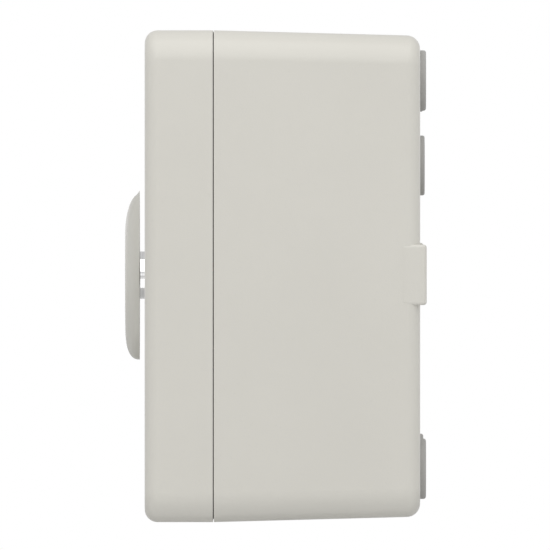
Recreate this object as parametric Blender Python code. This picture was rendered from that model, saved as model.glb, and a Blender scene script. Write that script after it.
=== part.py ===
"""Wall battery unit: a drafted rear housing and a lift-off front cover around an eight-cell pack,
its inverter, battery management board and a rotary isolator worked by a paddle handle on the cover.

Frame: +Z up, the front faces -Y, the wall is on the +Y side. The origin is the centre of the rear
housing's flat back face. Run with: blender --background --python part.py
"""

import math

import bmesh
import bpy
from mathutils import Matrix, Vector

# Overall sizes, in metres
WIDTH = 0.390
HEIGHT = 0.325
FRONT_Y = -0.182
COVER_RIM_Y = -0.137
HOUSING_RIM_Y = -0.136
DRAFT = math.radians(1.4)
CORNER_RADIUS = 0.020
FRONT_EDGE_RADIUS = 0.0075
BACK_EDGE_RADIUS = 0.009
WALL = 0.003
FLANGE_WIDTH = 0.0065
FLANGE_DEPTH = 0.006
GAP = 0.0003

# Joints between the two shells
GASKET_OUTER_INSET = 0.0022
GASKET_INNER_INSET = 0.0044
GASKET_GROOVE_DEPTH = 0.002
SCREW_X = 0.176
SCREW_Z = 0.1435
POST_RADIUS = 0.007
CLEARANCE_RADIUS = 0.0028
COUNTERBORE_RADIUS = 0.0062
COUNTERBORE_DEPTH = 0.022
SCREW_RADIUS = 0.0025
SCREW_SOCKET_RADIUS = 0.0020
SCREW_HEAD_RADIUS = 0.0043
SCREW_HEAD_LENGTH = 0.005
SCREW_LENGTH = 0.036
POST_HOLE_END_Y = -0.118

# Wall side
PAD_X = 0.150
PAD_TOP_Z = 0.1294
PAD_BOTTOM_Z = -0.1275
PAD_RADIUS = 0.020
PAD_PROUD = 0.0040
PAD_STEM_RADIUS = 0.004
PAD_STEM_HOLE = 0.0043
PAD_STEM_END_Y = -0.0052
PAD_EASE = 0.0015
RECESS_DEPTH = 0.001
RECESS_MARGIN = 0.0004
ENTRY_Z = 0.0732
ENTRY_PROUD = 0.0040
ENTRY_STEM_RADIUS = 0.0115
ENTRY_HOLE_RADIUS = 0.012
ENTRY_STEM_END_Y = -0.008
LUG_Z = 0.001
LUG_HEIGHT = 0.040
LUG_THICKNESS = 0.010
LUG_FRONT_Y = -0.0064
LUG_BACK_Y = 0.0043
LUG_OUTER_X = 0.1922
LUG_EASE = 0.0012
BRACKET_X = 0.120
BRACKET_TOP_Z = 0.100
BRACKET_BOTTOM_Z = -0.055
BRACKET_PILOT_RADIUS = 0.0021
BRACKET_PILOT_END_Y = -0.0080
BOSS_RADIUS = 0.006
BOSS_END_Y = -0.0092
VENT_X = -0.060
VENT_Z = -0.046
VENT_RADIUS = 0.007
VENT_STEM_RADIUS = 0.0045
VENT_SEAT_DEPTH = 0.0015
VENT_END_Y = -0.0045

# Isolator handle, on the axis through the centre of the cover
HANDLE_HEIGHT = 0.1128
HANDLE_WIDTH = 0.056
HANDLE_SIDE_EASE = 0.0105
HANDLE_BOTTOM_EASE = 0.0145
HANDLE_TOP_EASE = 0.0285
HANDLE_MIDDLE_DROP = 0.06
HANDLE_LOWER_BLUNT = 0.86
HANDLE_LEVELS = 7
HANDLE_BACK_Y = -0.1862
HANDLE_FRONT_Y = -0.1960
COLLAR_RADIUS = 0.0159
COLLAR_EASE = 0.0003
COLLAR_FACE_Y = -0.1859
COLLAR_SLEEVE_RADIUS = 0.0095
COLLAR_HOLE_RADIUS = 0.0098
COLLAR_BORE = 0.0063
COLLAR_END_Y = -0.1745
SEAL_SEAT_RADIUS = 0.0082
SEAL_SEAT_Y = -0.1772
NUT_RADIUS = 0.0145
NUT_LENGTH = 0.004
STEM_RADIUS = 0.0060
STEM_END_Y = -0.1700
CLIP_GROOVE_RADIUS = 0.0050
CLIP_RADIUS = 0.0085
CLIP_GROOVE_FRONT_Y = STEM_END_Y - 0.0032
CLIP_GROOVE_BACK_Y = STEM_END_Y - 0.0018
CLIP_SLOT_HALF = 0.004
SHAFT_SIDE = 0.006
SOCKET_SIDE = 0.0064
SOCKET_DEPTH = 0.0115
SHAFT_FRONT_Y = -0.1805
SHAFT_BACK_Y = -0.1450
SHAFT_EASE = 0.0006

# Isolator switch
SWITCH_SIZE = (0.046, 0.040, 0.060)
SWITCH_BACK_Y = -0.124
ROTOR_RADIUS = 0.0085
ROTOR_DEPTH = 0.024
SWITCH_EASE = 0.0015
CLAMP_PITCH = 0.014
CLAMP_SLOT_HALF = 0.0045
CLAMP_SLOT_DEPTH = 0.010
CLAMP_SLOT_START = 0.72
CLAMP_SLOT_END = 1.1
BRACKET_HALF_WIDTH = 0.032
BRACKET_HALF_HEIGHT = 0.019
BRACKET_FOOT = 0.012
SHEET = 0.002

# Cells
CELL_COUNT = 8
CELL_SIZE = (0.0390, 0.148, 0.092)
CELL_PITCH = 0.0396
CELL_CENTRE_Y = -0.084
CELL_BOTTOM_Z = -0.153
TERMINAL_OFFSET_Y = 0.052
TERMINAL_RADIUS = 0.008
TERMINAL_HEIGHT = 0.004
TERMINAL_ROOT = 0.001
CELL_EASE = 0.0015
BUSBAR_SIZE = (0.056, 0.018, 0.0015)
BUSBAR_HUMP = 0.002
BUSBAR_HUMP_FOOT = 0.006
BUSBAR_HUMP_TOP = 0.004
BUSBAR_HUMP_LEAN = 0.0005
END_PLATE = 0.004
END_PLATE_EASE = 0.0008
END_PLATE_DROP = 0.001
STRAP_HEIGHT = 0.012
STRAP_THICKNESS = 0.0012
STRAP_LEVELS = (-0.132, -0.084)
TRAY_BACK_LIP_Z = -0.100
TRAY_FRONT_LIP_Z = -0.140
LID_WALL = 0.0015
LID_CLEARANCE = 0.0012
LID_EASE = 0.0008
LEAD_WINDOW = 0.008

# Electronics, on the chassis plate
CHASSIS_Y = -0.014
CHASSIS_HALF_WIDTH = 0.165
CHASSIS_BOTTOM_Z = -0.038
CHASSIS_TOP_Z = 0.148
CHASSIS_SCREW_X = 0.100
CHASSIS_SCREW_LOW_Z = -0.030
CHASSIS_SCREW_HIGH_Z = 0.140
BOARD_THICKNESS = 0.0016
BOARD_SIZE = 0.105
BOARD_CENTRE_X = 0.1075
BOARD_CENTRE_Z = 0.0875
BOARD_HOLE_INSET = 0.005
INVERTER_BOARD_Y = -0.0580
BMS_BOARD_Y = -0.0300
STANDOFF_RADIUS = 0.003
CHASSIS_ENTRY_RADIUS = 0.016

# Parts on the inverter board; places are from the centre of the board
SINK_HALF = 0.042
SINK_BASE = 0.005
SINK_FIN_COUNT = 9
FIN_HALF = 0.001
FIN_INSET = 0.002
FIN_ROOT = 0.001
FIN_CLEARANCE = 0.006
CAPACITOR_RADIUS = 0.0145
CAPACITOR_LENGTH = 0.038
CAPACITOR_EASE = 0.001
CAPACITOR_PLACES = ((-0.030, 0.030), (0.004, 0.030))
CORE_LOW = (-0.040, -0.040)
CORE_HIGH = (0.004, 0.004)
CORE_HEIGHT = 0.030
CORE_EASE = 0.001
CORE_WALL = 0.006
CORE_BACK_WALL = 0.004
WINDING_INSET = 0.006
WINDING_EASE = 0.004
CHOKE_PLACE = (0.028, -0.022)
CHOKE_RADIUS = 0.014
CHOKE_SECTION = 0.0075
CHOKE_HEIGHT = 0.008
CHOKE_SIDES = 8

# Parts on the battery management board; places are from the centre of the board
BAR_LOW = (-0.040, 0.030)
BAR_HIGH = (0.040, 0.042)
BAR_HEIGHT = 0.018
RELAY_LOW = (-0.040, -0.010)
RELAY_HIGH = (-0.004, 0.018)
RELAY_HEIGHT = 0.032
HOLDER_LOW = (-0.040, -0.040)
HOLDER_HIGH = (0.030, -0.020)
HOLDER_HEIGHT = 0.012
HOLDER_WALL = 0.0015
HOLDER_FLOOR = 0.005
PART_EASE = 0.001
FUSE_RADIUS = 0.0072
FUSE_LENGTH = 0.048
FUSE_CENTRE_X = -0.005
FUSE_RISE = 0.0128

# Customer terminal block, on the chassis plate
BLOCK_HALF_WIDTH = 0.031
BLOCK_LOW_Z = 0.100
BLOCK_HIGH_Z = 0.132
BLOCK_HEIGHT = 0.030
WELL_PITCH = 0.0205
WELL_RADIUS = 0.0045
WELL_DEPTH = 0.012

# Leads; each bend is a distance from the lead's own end
CABLE_RADIUS = 0.003
LEAD_RISE = 0.020
LEAD_STRAIGHT = 0.005
LEAD_APPROACH = 0.010
LEAD_SWEEP = 0.020
SWITCH_LEAD_Z = 0.006

ROUND = 32
FINE_ROUND = 48
SMALL_ROUND = 16


def clear_scene():
    for item in list(bpy.data.objects):
        bpy.data.objects.remove(item, do_unlink=True)


def material(name, colour, roughness, metallic=0.0):
    made = bpy.data.materials.new(name)
    made.use_nodes = True
    shader = made.node_tree.nodes["Principled BSDF"]
    shader.inputs["Base Color"].default_value = (*colour, 1.0)
    shader.inputs["Roughness"].default_value = roughness
    shader.inputs["Metallic"].default_value = metallic
    return made


def add(name, mesh_builder, finish, at=(0.0, 0.0, 0.0), parent=None, smooth=False):
    """Turns a bmesh into a named object placed at a point, whose mesh is local to that point."""
    bmesh.ops.recalc_face_normals(mesh_builder, faces=mesh_builder.faces)
    mesh = bpy.data.meshes.new(name)
    mesh_builder.to_mesh(mesh)
    mesh_builder.free()
    made = bpy.data.objects.new(name, mesh)
    bpy.context.scene.collection.objects.link(made)
    made.location = Vector(at)
    if parent is not None:
        made.parent = parent
        made.location = Vector(at) - parent.location
    if finish is not None:
        mesh.materials.append(finish)
    if smooth:
        mesh.shade_smooth()
        mesh.set_sharp_from_angle(angle=math.radians(35))
    return made


def empty(name, at, parent=None):
    made = bpy.data.objects.new(name, None)
    bpy.context.scene.collection.objects.link(made)
    made.location = Vector(at)
    if parent is not None:
        made.parent = parent
        made.location = Vector(at) - parent.location
    return made


def combine(made, tool, operation):
    """Adds or cuts with another object, which is then only a guide."""
    change = made.modifiers.new(operation.title(), "BOOLEAN")
    change.operation = operation
    change.object = tool
    change.solver = "EXACT"
    tool.hide_render = True
    tool.display_type = "WIRE"


def cut(made, tool):
    combine(made, tool, "DIFFERENCE")


def join(made, tool):
    combine(made, tool, "UNION")


def box_into(builder, low, high):
    """Adds an axis-aligned box, given by its lowest and highest corners, to a bmesh."""
    size = [h - l for l, h in zip(low, high)]
    middle = [(l + h) / 2 for l, h in zip(low, high)]
    place = Matrix.Translation(middle) @ Matrix.Diagonal((*size, 1.0))
    return bmesh.ops.create_cube(builder, size=1.0, matrix=place)["verts"]


def box(low, high, bevel=0.0):
    builder = bmesh.new()
    box_into(builder, low, high)
    if bevel:
        bmesh.ops.bevel(
            builder, geom=builder.edges[:], offset=bevel, segments=1, affect="EDGES", profile=0.5
        )
    return builder


def turned_into(builder, profile, at=(0.0, 0.0), segments=ROUND):
    """Spins a closed outline of (radius, y) points about the line along Y through (x, z) = at."""
    ring = [builder.verts.new((at[0] + r, y, at[1])) for r, y in profile]
    edges = [builder.edges.new((a, b)) for a, b in zip(ring, ring[1:])]
    if profile[0][0] > 0:
        edges.append(builder.edges.new((ring[-1], ring[0])))
    spun = bmesh.ops.spin(
        builder,
        geom=ring + edges,
        cent=(at[0], 0.0, at[1]),
        axis=(0.0, 1.0, 0.0),
        angle=math.tau,
        steps=segments,
        use_merge=True,
    )
    bmesh.ops.remove_doubles(builder, verts=builder.verts, dist=1e-6)
    return spun


def turned(profile, at=(0.0, 0.0), segments=ROUND):
    builder = bmesh.new()
    turned_into(builder, profile, at, segments)
    return builder


def rod_profile(radius, y_low, y_high, ease=0.0):
    """Half outline of a solid rod along Y with eased end edges."""
    if not ease:
        return [(0.0, y_low), (radius, y_low), (radius, y_high), (0.0, y_high)]
    return [
        (0.0, y_low),
        (radius - ease, y_low),
        (radius, y_low + ease),
        (radius, y_high - ease),
        (radius - ease, y_high),
        (0.0, y_high),
    ]


def ring_profile(inner, outer, y_low, y_high):
    return [(inner, y_low), (outer, y_low), (outer, y_high), (inner, y_high)]


def rods(places, radius, y_low, y_high, segments=SMALL_ROUND, ease=0.0):
    builder = bmesh.new()
    for place in places:
        turned_into(builder, rod_profile(radius, y_low, y_high, ease), place, segments)
    return builder


def corners(x, z_low, z_high, x_middle=0.0):
    return [(x_middle + sx * x, z) for sx in (-1, 1) for z in (z_low, z_high)]


def shell_block(half_x, half_z, y_open, y_closed, corner, edge, draft=0.0, corner_cuts=6, edge_cuts=4):
    """A block with rounded corners along Y whose closed end is drafted inward and has eased edges."""
    builder = bmesh.new()
    low = (-half_x, min(y_open, y_closed), -half_z)
    high = (half_x, max(y_open, y_closed), half_z)
    box_into(builder, low, high)
    long_edges = [
        e for e in builder.edges if abs(e.verts[0].co.y - e.verts[1].co.y) > abs(y_open - y_closed) / 2
    ]
    bmesh.ops.bevel(
        builder, geom=long_edges, offset=corner, segments=corner_cuts, affect="EDGES", profile=0.5
    )
    end = [v for v in builder.verts if abs(v.co.y - y_closed) < 1e-6]
    inward = abs(y_open - y_closed) * math.tan(draft)
    for v in end:
        v.co.x *= (half_x - inward) / half_x
        v.co.z *= (half_z - inward) / half_z
    if edge:
        rim = [e for e in builder.edges if all(abs(v.co.y - y_closed) < 1e-6 for v in e.verts)]
        bmesh.ops.bevel(
            builder, geom=rim, offset=edge, segments=edge_cuts, affect="EDGES", profile=0.5
        )
    return builder


def guide(name, builder):
    return add(name, builder, None)


def hollow(made, y_rim, y_end, edge, draft):
    """Cuts the inside of a shell: a wide cavity behind a thicker flange at its rim."""
    away = math.copysign(FLANGE_DEPTH, y_end - y_rim)
    cavity = shell_block(
        WIDTH / 2 - WALL,
        HEIGHT / 2 - WALL,
        y_rim + away,
        y_end,
        CORNER_RADIUS - WALL,
        edge - WALL,
        draft,
    )
    mouth = shell_block(
        WIDTH / 2 - FLANGE_WIDTH,
        HEIGHT / 2 - FLANGE_WIDTH,
        y_rim - away,
        y_rim + away * 1.1,
        CORNER_RADIUS - FLANGE_WIDTH,
        0.0,
    )
    cut(made, guide(made.name + "_cavity", cavity))
    cut(made, guide(made.name + "_mouth", mouth))


def rim_ring(outer_inset, inner_inset, y_low, y_high):
    """A rectangular ring that follows the rim, between two insets from the outer surface."""
    builder = shell_block(
        WIDTH / 2 - outer_inset, HEIGHT / 2 - outer_inset, y_high, y_low, CORNER_RADIUS - outer_inset, 0.0
    )
    inner = shell_block(
        WIDTH / 2 - inner_inset,
        HEIGHT / 2 - inner_inset,
        y_high + GASKET_GROOVE_DEPTH,
        y_low - GASKET_GROOVE_DEPTH,
        CORNER_RADIUS - inner_inset,
        0.0,
    )
    return builder, inner


def cover_screw_places():
    return corners(SCREW_X, -SCREW_Z, SCREW_Z)


def pad_places():
    return corners(PAD_X, PAD_BOTTOM_Z, PAD_TOP_Z)


def bracket_places():
    return corners(BRACKET_X, BRACKET_BOTTOM_Z, BRACKET_TOP_Z)


def chassis_places():
    return corners(CHASSIS_SCREW_X, CHASSIS_SCREW_LOW_Z, CHASSIS_SCREW_HIGH_Z)


def build_housing(finish):
    builder = shell_block(
        WIDTH / 2, HEIGHT / 2, HOUSING_RIM_Y, 0.0, CORNER_RADIUS, BACK_EDGE_RADIUS, DRAFT
    )
    housing = add("rear_housing", builder, finish)
    hollow(housing, HOUSING_RIM_Y, -WALL, BACK_EDGE_RADIUS, DRAFT)
    for side, name in ((-1, "left"), (1, "right")):
        near, far = sorted((side * (LUG_OUTER_X - LUG_THICKNESS), side * LUG_OUTER_X))
        lug = box(
            (near, LUG_FRONT_Y, LUG_Z - LUG_HEIGHT / 2), (far, LUG_BACK_Y, LUG_Z + LUG_HEIGHT / 2), LUG_EASE
        )
        join(housing, guide(f"lug_{name}_guide", lug))
    overlap = WALL / 2
    posts = rods(cover_screw_places(), POST_RADIUS, HOUSING_RIM_Y, -overlap)
    join(housing, guide("screw_posts_guide", posts))
    bosses = rods(bracket_places(), BOSS_RADIUS, BOSS_END_Y, -overlap)
    join(housing, guide("bracket_bosses_guide", bosses))
    supports = rods(chassis_places(), BOSS_RADIUS, CHASSIS_Y + SHEET + GAP, -overlap)
    join(housing, guide("chassis_supports_guide", supports))
    ring, inner = rim_ring(
        GASKET_OUTER_INSET - GAP,
        GASKET_INNER_INSET + GAP,
        HOUSING_RIM_Y - WALL,
        HOUSING_RIM_Y + GASKET_GROOVE_DEPTH,
    )
    groove = guide("gasket_groove_guide", ring)
    cut(groove, guide("gasket_groove_inner_guide", inner))
    cut(housing, groove)
    screw_holes = rods(cover_screw_places(), CLEARANCE_RADIUS, HOUSING_RIM_Y - WALL, POST_HOLE_END_Y)
    cut(housing, guide("post_holes_guide", screw_holes))
    recesses = rods(pad_places(), PAD_RADIUS + RECESS_MARGIN, -RECESS_DEPTH, WALL, ROUND)
    turned_into(recesses, rod_profile(PAD_RADIUS + RECESS_MARGIN, -RECESS_DEPTH, WALL), (0.0, ENTRY_Z))
    vent_seat = rod_profile(VENT_RADIUS + GAP, -VENT_SEAT_DEPTH, WALL)
    turned_into(recesses, vent_seat, (VENT_X, VENT_Z), SMALL_ROUND)
    cut(housing, guide("pad_recesses_guide", recesses))
    holes = rods(pad_places(), PAD_STEM_HOLE, -2 * WALL, WALL)
    turned_into(holes, rod_profile(ENTRY_HOLE_RADIUS, -2 * WALL, WALL), (0.0, ENTRY_Z))
    turned_into(
        holes, rod_profile(VENT_STEM_RADIUS + GAP, -2 * WALL, WALL), (VENT_X, VENT_Z), SMALL_ROUND
    )
    pilot = rod_profile(BRACKET_PILOT_RADIUS, BRACKET_PILOT_END_Y, WALL)
    for place in bracket_places():
        turned_into(holes, pilot, place, SMALL_ROUND)
    cut(housing, guide("back_holes_guide", holes))
    return housing


def build_gasket(finish):
    ring, inner = rim_ring(
        GASKET_OUTER_INSET, GASKET_INNER_INSET, COVER_RIM_Y + GAP, HOUSING_RIM_Y + GASKET_GROOVE_DEPTH - GAP
    )
    gasket = add("cover_gasket", ring, finish)
    cut(gasket, guide("gasket_inner_guide", inner))


def build_cover(finish, parent):
    builder = shell_block(
        WIDTH / 2, HEIGHT / 2, COVER_RIM_Y, FRONT_Y, CORNER_RADIUS, FRONT_EDGE_RADIUS
    )
    cover = add("front_cover", builder, finish, parent=parent)
    hollow(cover, COVER_RIM_Y, FRONT_Y + WALL, FRONT_EDGE_RADIUS, 0.0)
    overlap = WALL / 2
    sleeves = rods(cover_screw_places(), POST_RADIUS + overlap / 2, FRONT_Y + overlap, COVER_RIM_Y)
    join(cover, guide("cover_sleeves_guide", sleeves))
    counterbores = rods(
        cover_screw_places(), COUNTERBORE_RADIUS, FRONT_Y - WALL, FRONT_Y + COUNTERBORE_DEPTH
    )
    cut(cover, guide("counterbores_guide", counterbores))
    through = rods(cover_screw_places(), CLEARANCE_RADIUS, FRONT_Y - WALL, COVER_RIM_Y + WALL)
    turned_into(through, rod_profile(COLLAR_HOLE_RADIUS, FRONT_Y - WALL, FRONT_Y + 2 * WALL), (0.0, 0.0))
    cut(cover, guide("cover_holes_guide", through))


def build_cover_screws(steel, parent):
    """Captive socket screws, seated at the bottom of the cover's counterbores."""
    seat = FRONT_Y + COUNTERBORE_DEPTH - GAP
    head = seat - SCREW_HEAD_LENGTH
    socket_floor = head + SCREW_HEAD_LENGTH / 2
    profile = [
        (0.0, socket_floor),
        (SCREW_SOCKET_RADIUS, socket_floor),
        (SCREW_SOCKET_RADIUS, head),
        (SCREW_HEAD_RADIUS, head),
        (SCREW_HEAD_RADIUS, seat),
        (SCREW_RADIUS, seat),
        (SCREW_RADIUS, seat + SCREW_LENGTH),
        (0.0, seat + SCREW_LENGTH),
    ]
    for number, (x, z) in enumerate(cover_screw_places(), 1):
        screw = turned(profile, segments=SMALL_ROUND)
        add(f"cover_screw_{number}", screw, steel, at=(x, 0.0, z), parent=parent, smooth=True)


def oval_ring(builder, y, half_x, z_low, z_high):
    """Adds an upright oval ring whose upper half is longer and narrower than its lower half."""
    middle = (z_high + z_low) / 2 - (z_high - z_low) * HANDLE_MIDDLE_DROP
    ring = bmesh.ops.create_circle(builder, segments=FINE_ROUND, radius=1.0)["verts"]
    for v in ring:
        c, s = v.co.x, v.co.y
        reach = z_high - middle if s > 0 else middle - z_low
        blunt = 1.0 if s > 0 else HANDLE_LOWER_BLUNT
        x = math.copysign(abs(c) ** blunt, c) * half_x
        v.co = (x, y, middle + math.copysign(abs(s) ** blunt, s) * reach)
    return [e for e in builder.edges if e.verts[0] in ring and e.verts[1] in ring]


def handle_shape():
    """The paddle: oval rings stacked towards the front, each smaller than the one behind it."""
    depth = HANDLE_BACK_Y - HANDLE_FRONT_Y
    builder = bmesh.new()
    rings = []
    for k in range(HANDLE_LEVELS + 1):
        turn = math.pi / 2 * k / HANDLE_LEVELS
        shrink = 1.0 - math.cos(turn)
        rings.append(
            oval_ring(
                builder,
                HANDLE_BACK_Y - depth * math.sin(turn),
                HANDLE_WIDTH / 2 - shrink * HANDLE_SIDE_EASE,
                -HANDLE_HEIGHT / 2 + shrink * HANDLE_BOTTOM_EASE,
                HANDLE_HEIGHT / 2 - shrink * HANDLE_TOP_EASE,
            )
        )
    for a, b in zip(rings, rings[1:]):
        bmesh.ops.bridge_loops(builder, edges=a + b)
    for ring in (rings[0], rings[-1]):
        bmesh.ops.contextual_create(builder, geom=ring)
    return builder


def build_handle(plastic, chrome, rubber, brass, steel, cover_frame, handle_frame):
    handle = add("isolator_handle", handle_shape(), plastic, parent=handle_frame, smooth=True)
    stem = [
        (0.0, HANDLE_BACK_Y - WALL),
        (STEM_RADIUS, HANDLE_BACK_Y - WALL),
        (STEM_RADIUS, CLIP_GROOVE_FRONT_Y),
        (CLIP_GROOVE_RADIUS, CLIP_GROOVE_FRONT_Y),
        (CLIP_GROOVE_RADIUS, CLIP_GROOVE_BACK_Y),
        (STEM_RADIUS, CLIP_GROOVE_BACK_Y),
        (STEM_RADIUS, STEM_END_Y),
        (0.0, STEM_END_Y),
    ]
    join(handle, guide("handle_stem_guide", turned(stem)))
    half = SOCKET_SIDE / 2
    socket = box((-half, STEM_END_Y - SOCKET_DEPTH, -half), (half, STEM_END_Y + WALL, half))
    cut(handle, guide("handle_socket_guide", socket))
    clip_front = CLIP_GROOVE_FRONT_Y + GAP
    clip_back = CLIP_GROOVE_BACK_Y - GAP
    clip = turned(ring_profile(CLIP_GROOVE_RADIUS + GAP, CLIP_RADIUS, clip_front, clip_back))
    clip_object = add("handle_clip", clip, steel, parent=handle_frame)
    slot = box(
        (-CLIP_SLOT_HALF, clip_front - WALL, -CLIP_RADIUS * 2), (CLIP_SLOT_HALF, clip_back + WALL, 0.0)
    )
    cut(clip_object, guide("clip_slot_guide", slot))
    collar = [
        (COLLAR_BORE, COLLAR_FACE_Y),
        (COLLAR_RADIUS - COLLAR_EASE, COLLAR_FACE_Y),
        (COLLAR_RADIUS, COLLAR_FACE_Y + COLLAR_EASE),
        (COLLAR_RADIUS, FRONT_Y - GAP),
        (COLLAR_SLEEVE_RADIUS, FRONT_Y - GAP),
        (COLLAR_SLEEVE_RADIUS, COLLAR_END_Y),
        (SEAL_SEAT_RADIUS, COLLAR_END_Y),
        (SEAL_SEAT_RADIUS, SEAL_SEAT_Y),
        (COLLAR_BORE, SEAL_SEAT_Y),
    ]
    add("handle_collar", turned(collar, segments=FINE_ROUND), chrome, parent=cover_frame)
    seal = turned(
        ring_profile(STEM_RADIUS + GAP, SEAL_SEAT_RADIUS - GAP, SEAL_SEAT_Y + GAP, COLLAR_END_Y - GAP)
    )
    add("handle_seal", seal, rubber, parent=cover_frame)
    nut_front = FRONT_Y + WALL + GAP
    hexagon = turned(rod_profile(NUT_RADIUS, nut_front, nut_front + NUT_LENGTH), segments=6)
    nut_hole = turned(rod_profile(COLLAR_SLEEVE_RADIUS + GAP, nut_front - WALL, nut_front + 2 * WALL))
    nut_object = add("collar_nut", hexagon, brass, parent=cover_frame)
    cut(nut_object, guide("collar_nut_hole_guide", nut_hole))


def build_wall_side(rubber, dark):
    seat = -RECESS_DEPTH + GAP
    names = ("wall_pad_1", "wall_pad_2", "wall_pad_3", "wall_pad_4")
    for name, place in zip(names, pad_places()):
        profile = [
            (0.0, PAD_STEM_END_Y),
            (PAD_STEM_RADIUS, PAD_STEM_END_Y),
            (PAD_STEM_RADIUS, seat),
            (PAD_RADIUS, seat),
            (PAD_RADIUS, PAD_PROUD - PAD_EASE),
            (PAD_RADIUS - PAD_EASE / 3, PAD_PROUD - PAD_EASE / 3),
            (PAD_RADIUS - PAD_EASE, PAD_PROUD),
            (0.0, PAD_PROUD),
        ]
        add(name, turned(profile, segments=ROUND), rubber, at=(place[0], 0.0, place[1]), smooth=True)
    bung = [
        (0.0, ENTRY_STEM_END_Y),
        (ENTRY_STEM_RADIUS, ENTRY_STEM_END_Y),
        (ENTRY_STEM_RADIUS, seat),
        (PAD_RADIUS, seat),
        (PAD_RADIUS, ENTRY_PROUD - PAD_EASE),
        (PAD_RADIUS - PAD_EASE, ENTRY_PROUD),
        (0.0, ENTRY_PROUD),
    ]
    add("rear_entry_bung", turned(bung), rubber, at=(0.0, 0.0, ENTRY_Z), smooth=True)
    vent = [
        (0.0, VENT_END_Y),
        (VENT_STEM_RADIUS, VENT_END_Y),
        (VENT_STEM_RADIUS, -VENT_SEAT_DEPTH + GAP),
        (VENT_RADIUS, -VENT_SEAT_DEPTH + GAP),
        (VENT_RADIUS, -GAP),
        (0.0, -GAP),
    ]
    add("breather_vent", turned(vent, segments=SMALL_ROUND), dark, at=(VENT_X, 0.0, VENT_Z))


def build_isolator(body_finish, rotor_finish, steel, shaft_frame):
    half_x = SWITCH_SIZE[0] / 2
    half_z = SWITCH_SIZE[2] / 2
    front = SWITCH_BACK_Y - SWITCH_SIZE[1]
    switch = add(
        "isolator_body",
        box((-half_x, front, -half_z), (half_x, SWITCH_BACK_Y, half_z), SWITCH_EASE),
        body_finish,
    )
    bore = turned(rod_profile(ROTOR_RADIUS + GAP, front - WALL, front + ROTOR_DEPTH + 2 * GAP))
    cut(switch, guide("rotor_bore_guide", bore))
    slots = bmesh.new()
    for x in (-CLAMP_PITCH, 0.0, CLAMP_PITCH):
        for side in (-1, 1):
            low, high = sorted((side * half_z * CLAMP_SLOT_START, side * half_z * CLAMP_SLOT_END))
            box_into(
                slots,
                (x - CLAMP_SLOT_HALF, front - WALL, low),
                (x + CLAMP_SLOT_HALF, front + CLAMP_SLOT_DEPTH, high),
            )
    cut(switch, guide("switch_slots_guide", slots))
    rotor = add(
        "isolator_rotor",
        turned(rod_profile(ROTOR_RADIUS, front + GAP, front + ROTOR_DEPTH)),
        rotor_finish,
        parent=shaft_frame,
    )
    half = SOCKET_SIDE / 2
    socket = box((-half, front - WALL, -half), (half, SHAFT_BACK_Y + GAP, half))
    cut(rotor, guide("rotor_socket_guide", socket))
    half = SHAFT_SIDE / 2
    shaft = box((-half, SHAFT_FRONT_Y, -half), (half, SHAFT_BACK_Y, half), SHAFT_EASE)
    add("isolator_shaft", shaft, steel, parent=shaft_frame)


def build_bracket(steel):
    """A hat-shaped sheet bracket that carries the isolator in front of the chassis plate."""
    top = SWITCH_BACK_Y + GAP
    foot = CHASSIS_Y - GAP
    wide = BRACKET_HALF_WIDTH
    outline = [
        (-wide - BRACKET_FOOT, foot),
        (-wide - BRACKET_FOOT, foot - SHEET),
        (-wide, foot - SHEET),
        (-wide, top),
        (wide, top),
        (wide, foot - SHEET),
        (wide + BRACKET_FOOT, foot - SHEET),
        (wide + BRACKET_FOOT, foot),
        (wide - SHEET, foot),
        (wide - SHEET, top + SHEET),
        (-wide + SHEET, top + SHEET),
        (-wide + SHEET, foot),
    ]
    builder = bmesh.new()
    base = [builder.verts.new((x, y, -BRACKET_HALF_HEIGHT)) for x, y in outline]
    face = builder.faces.new(base)
    grown = bmesh.ops.extrude_face_region(builder, geom=[face])
    raised = [g for g in grown["geom"] if isinstance(g, bmesh.types.BMVert)]
    bmesh.ops.translate(builder, verts=raised, vec=(0.0, 0.0, 2 * BRACKET_HALF_HEIGHT))
    add("isolator_bracket", builder, steel)


def cell_x(index):
    return (index - (CELL_COUNT - 1) / 2) * CELL_PITCH


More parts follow.
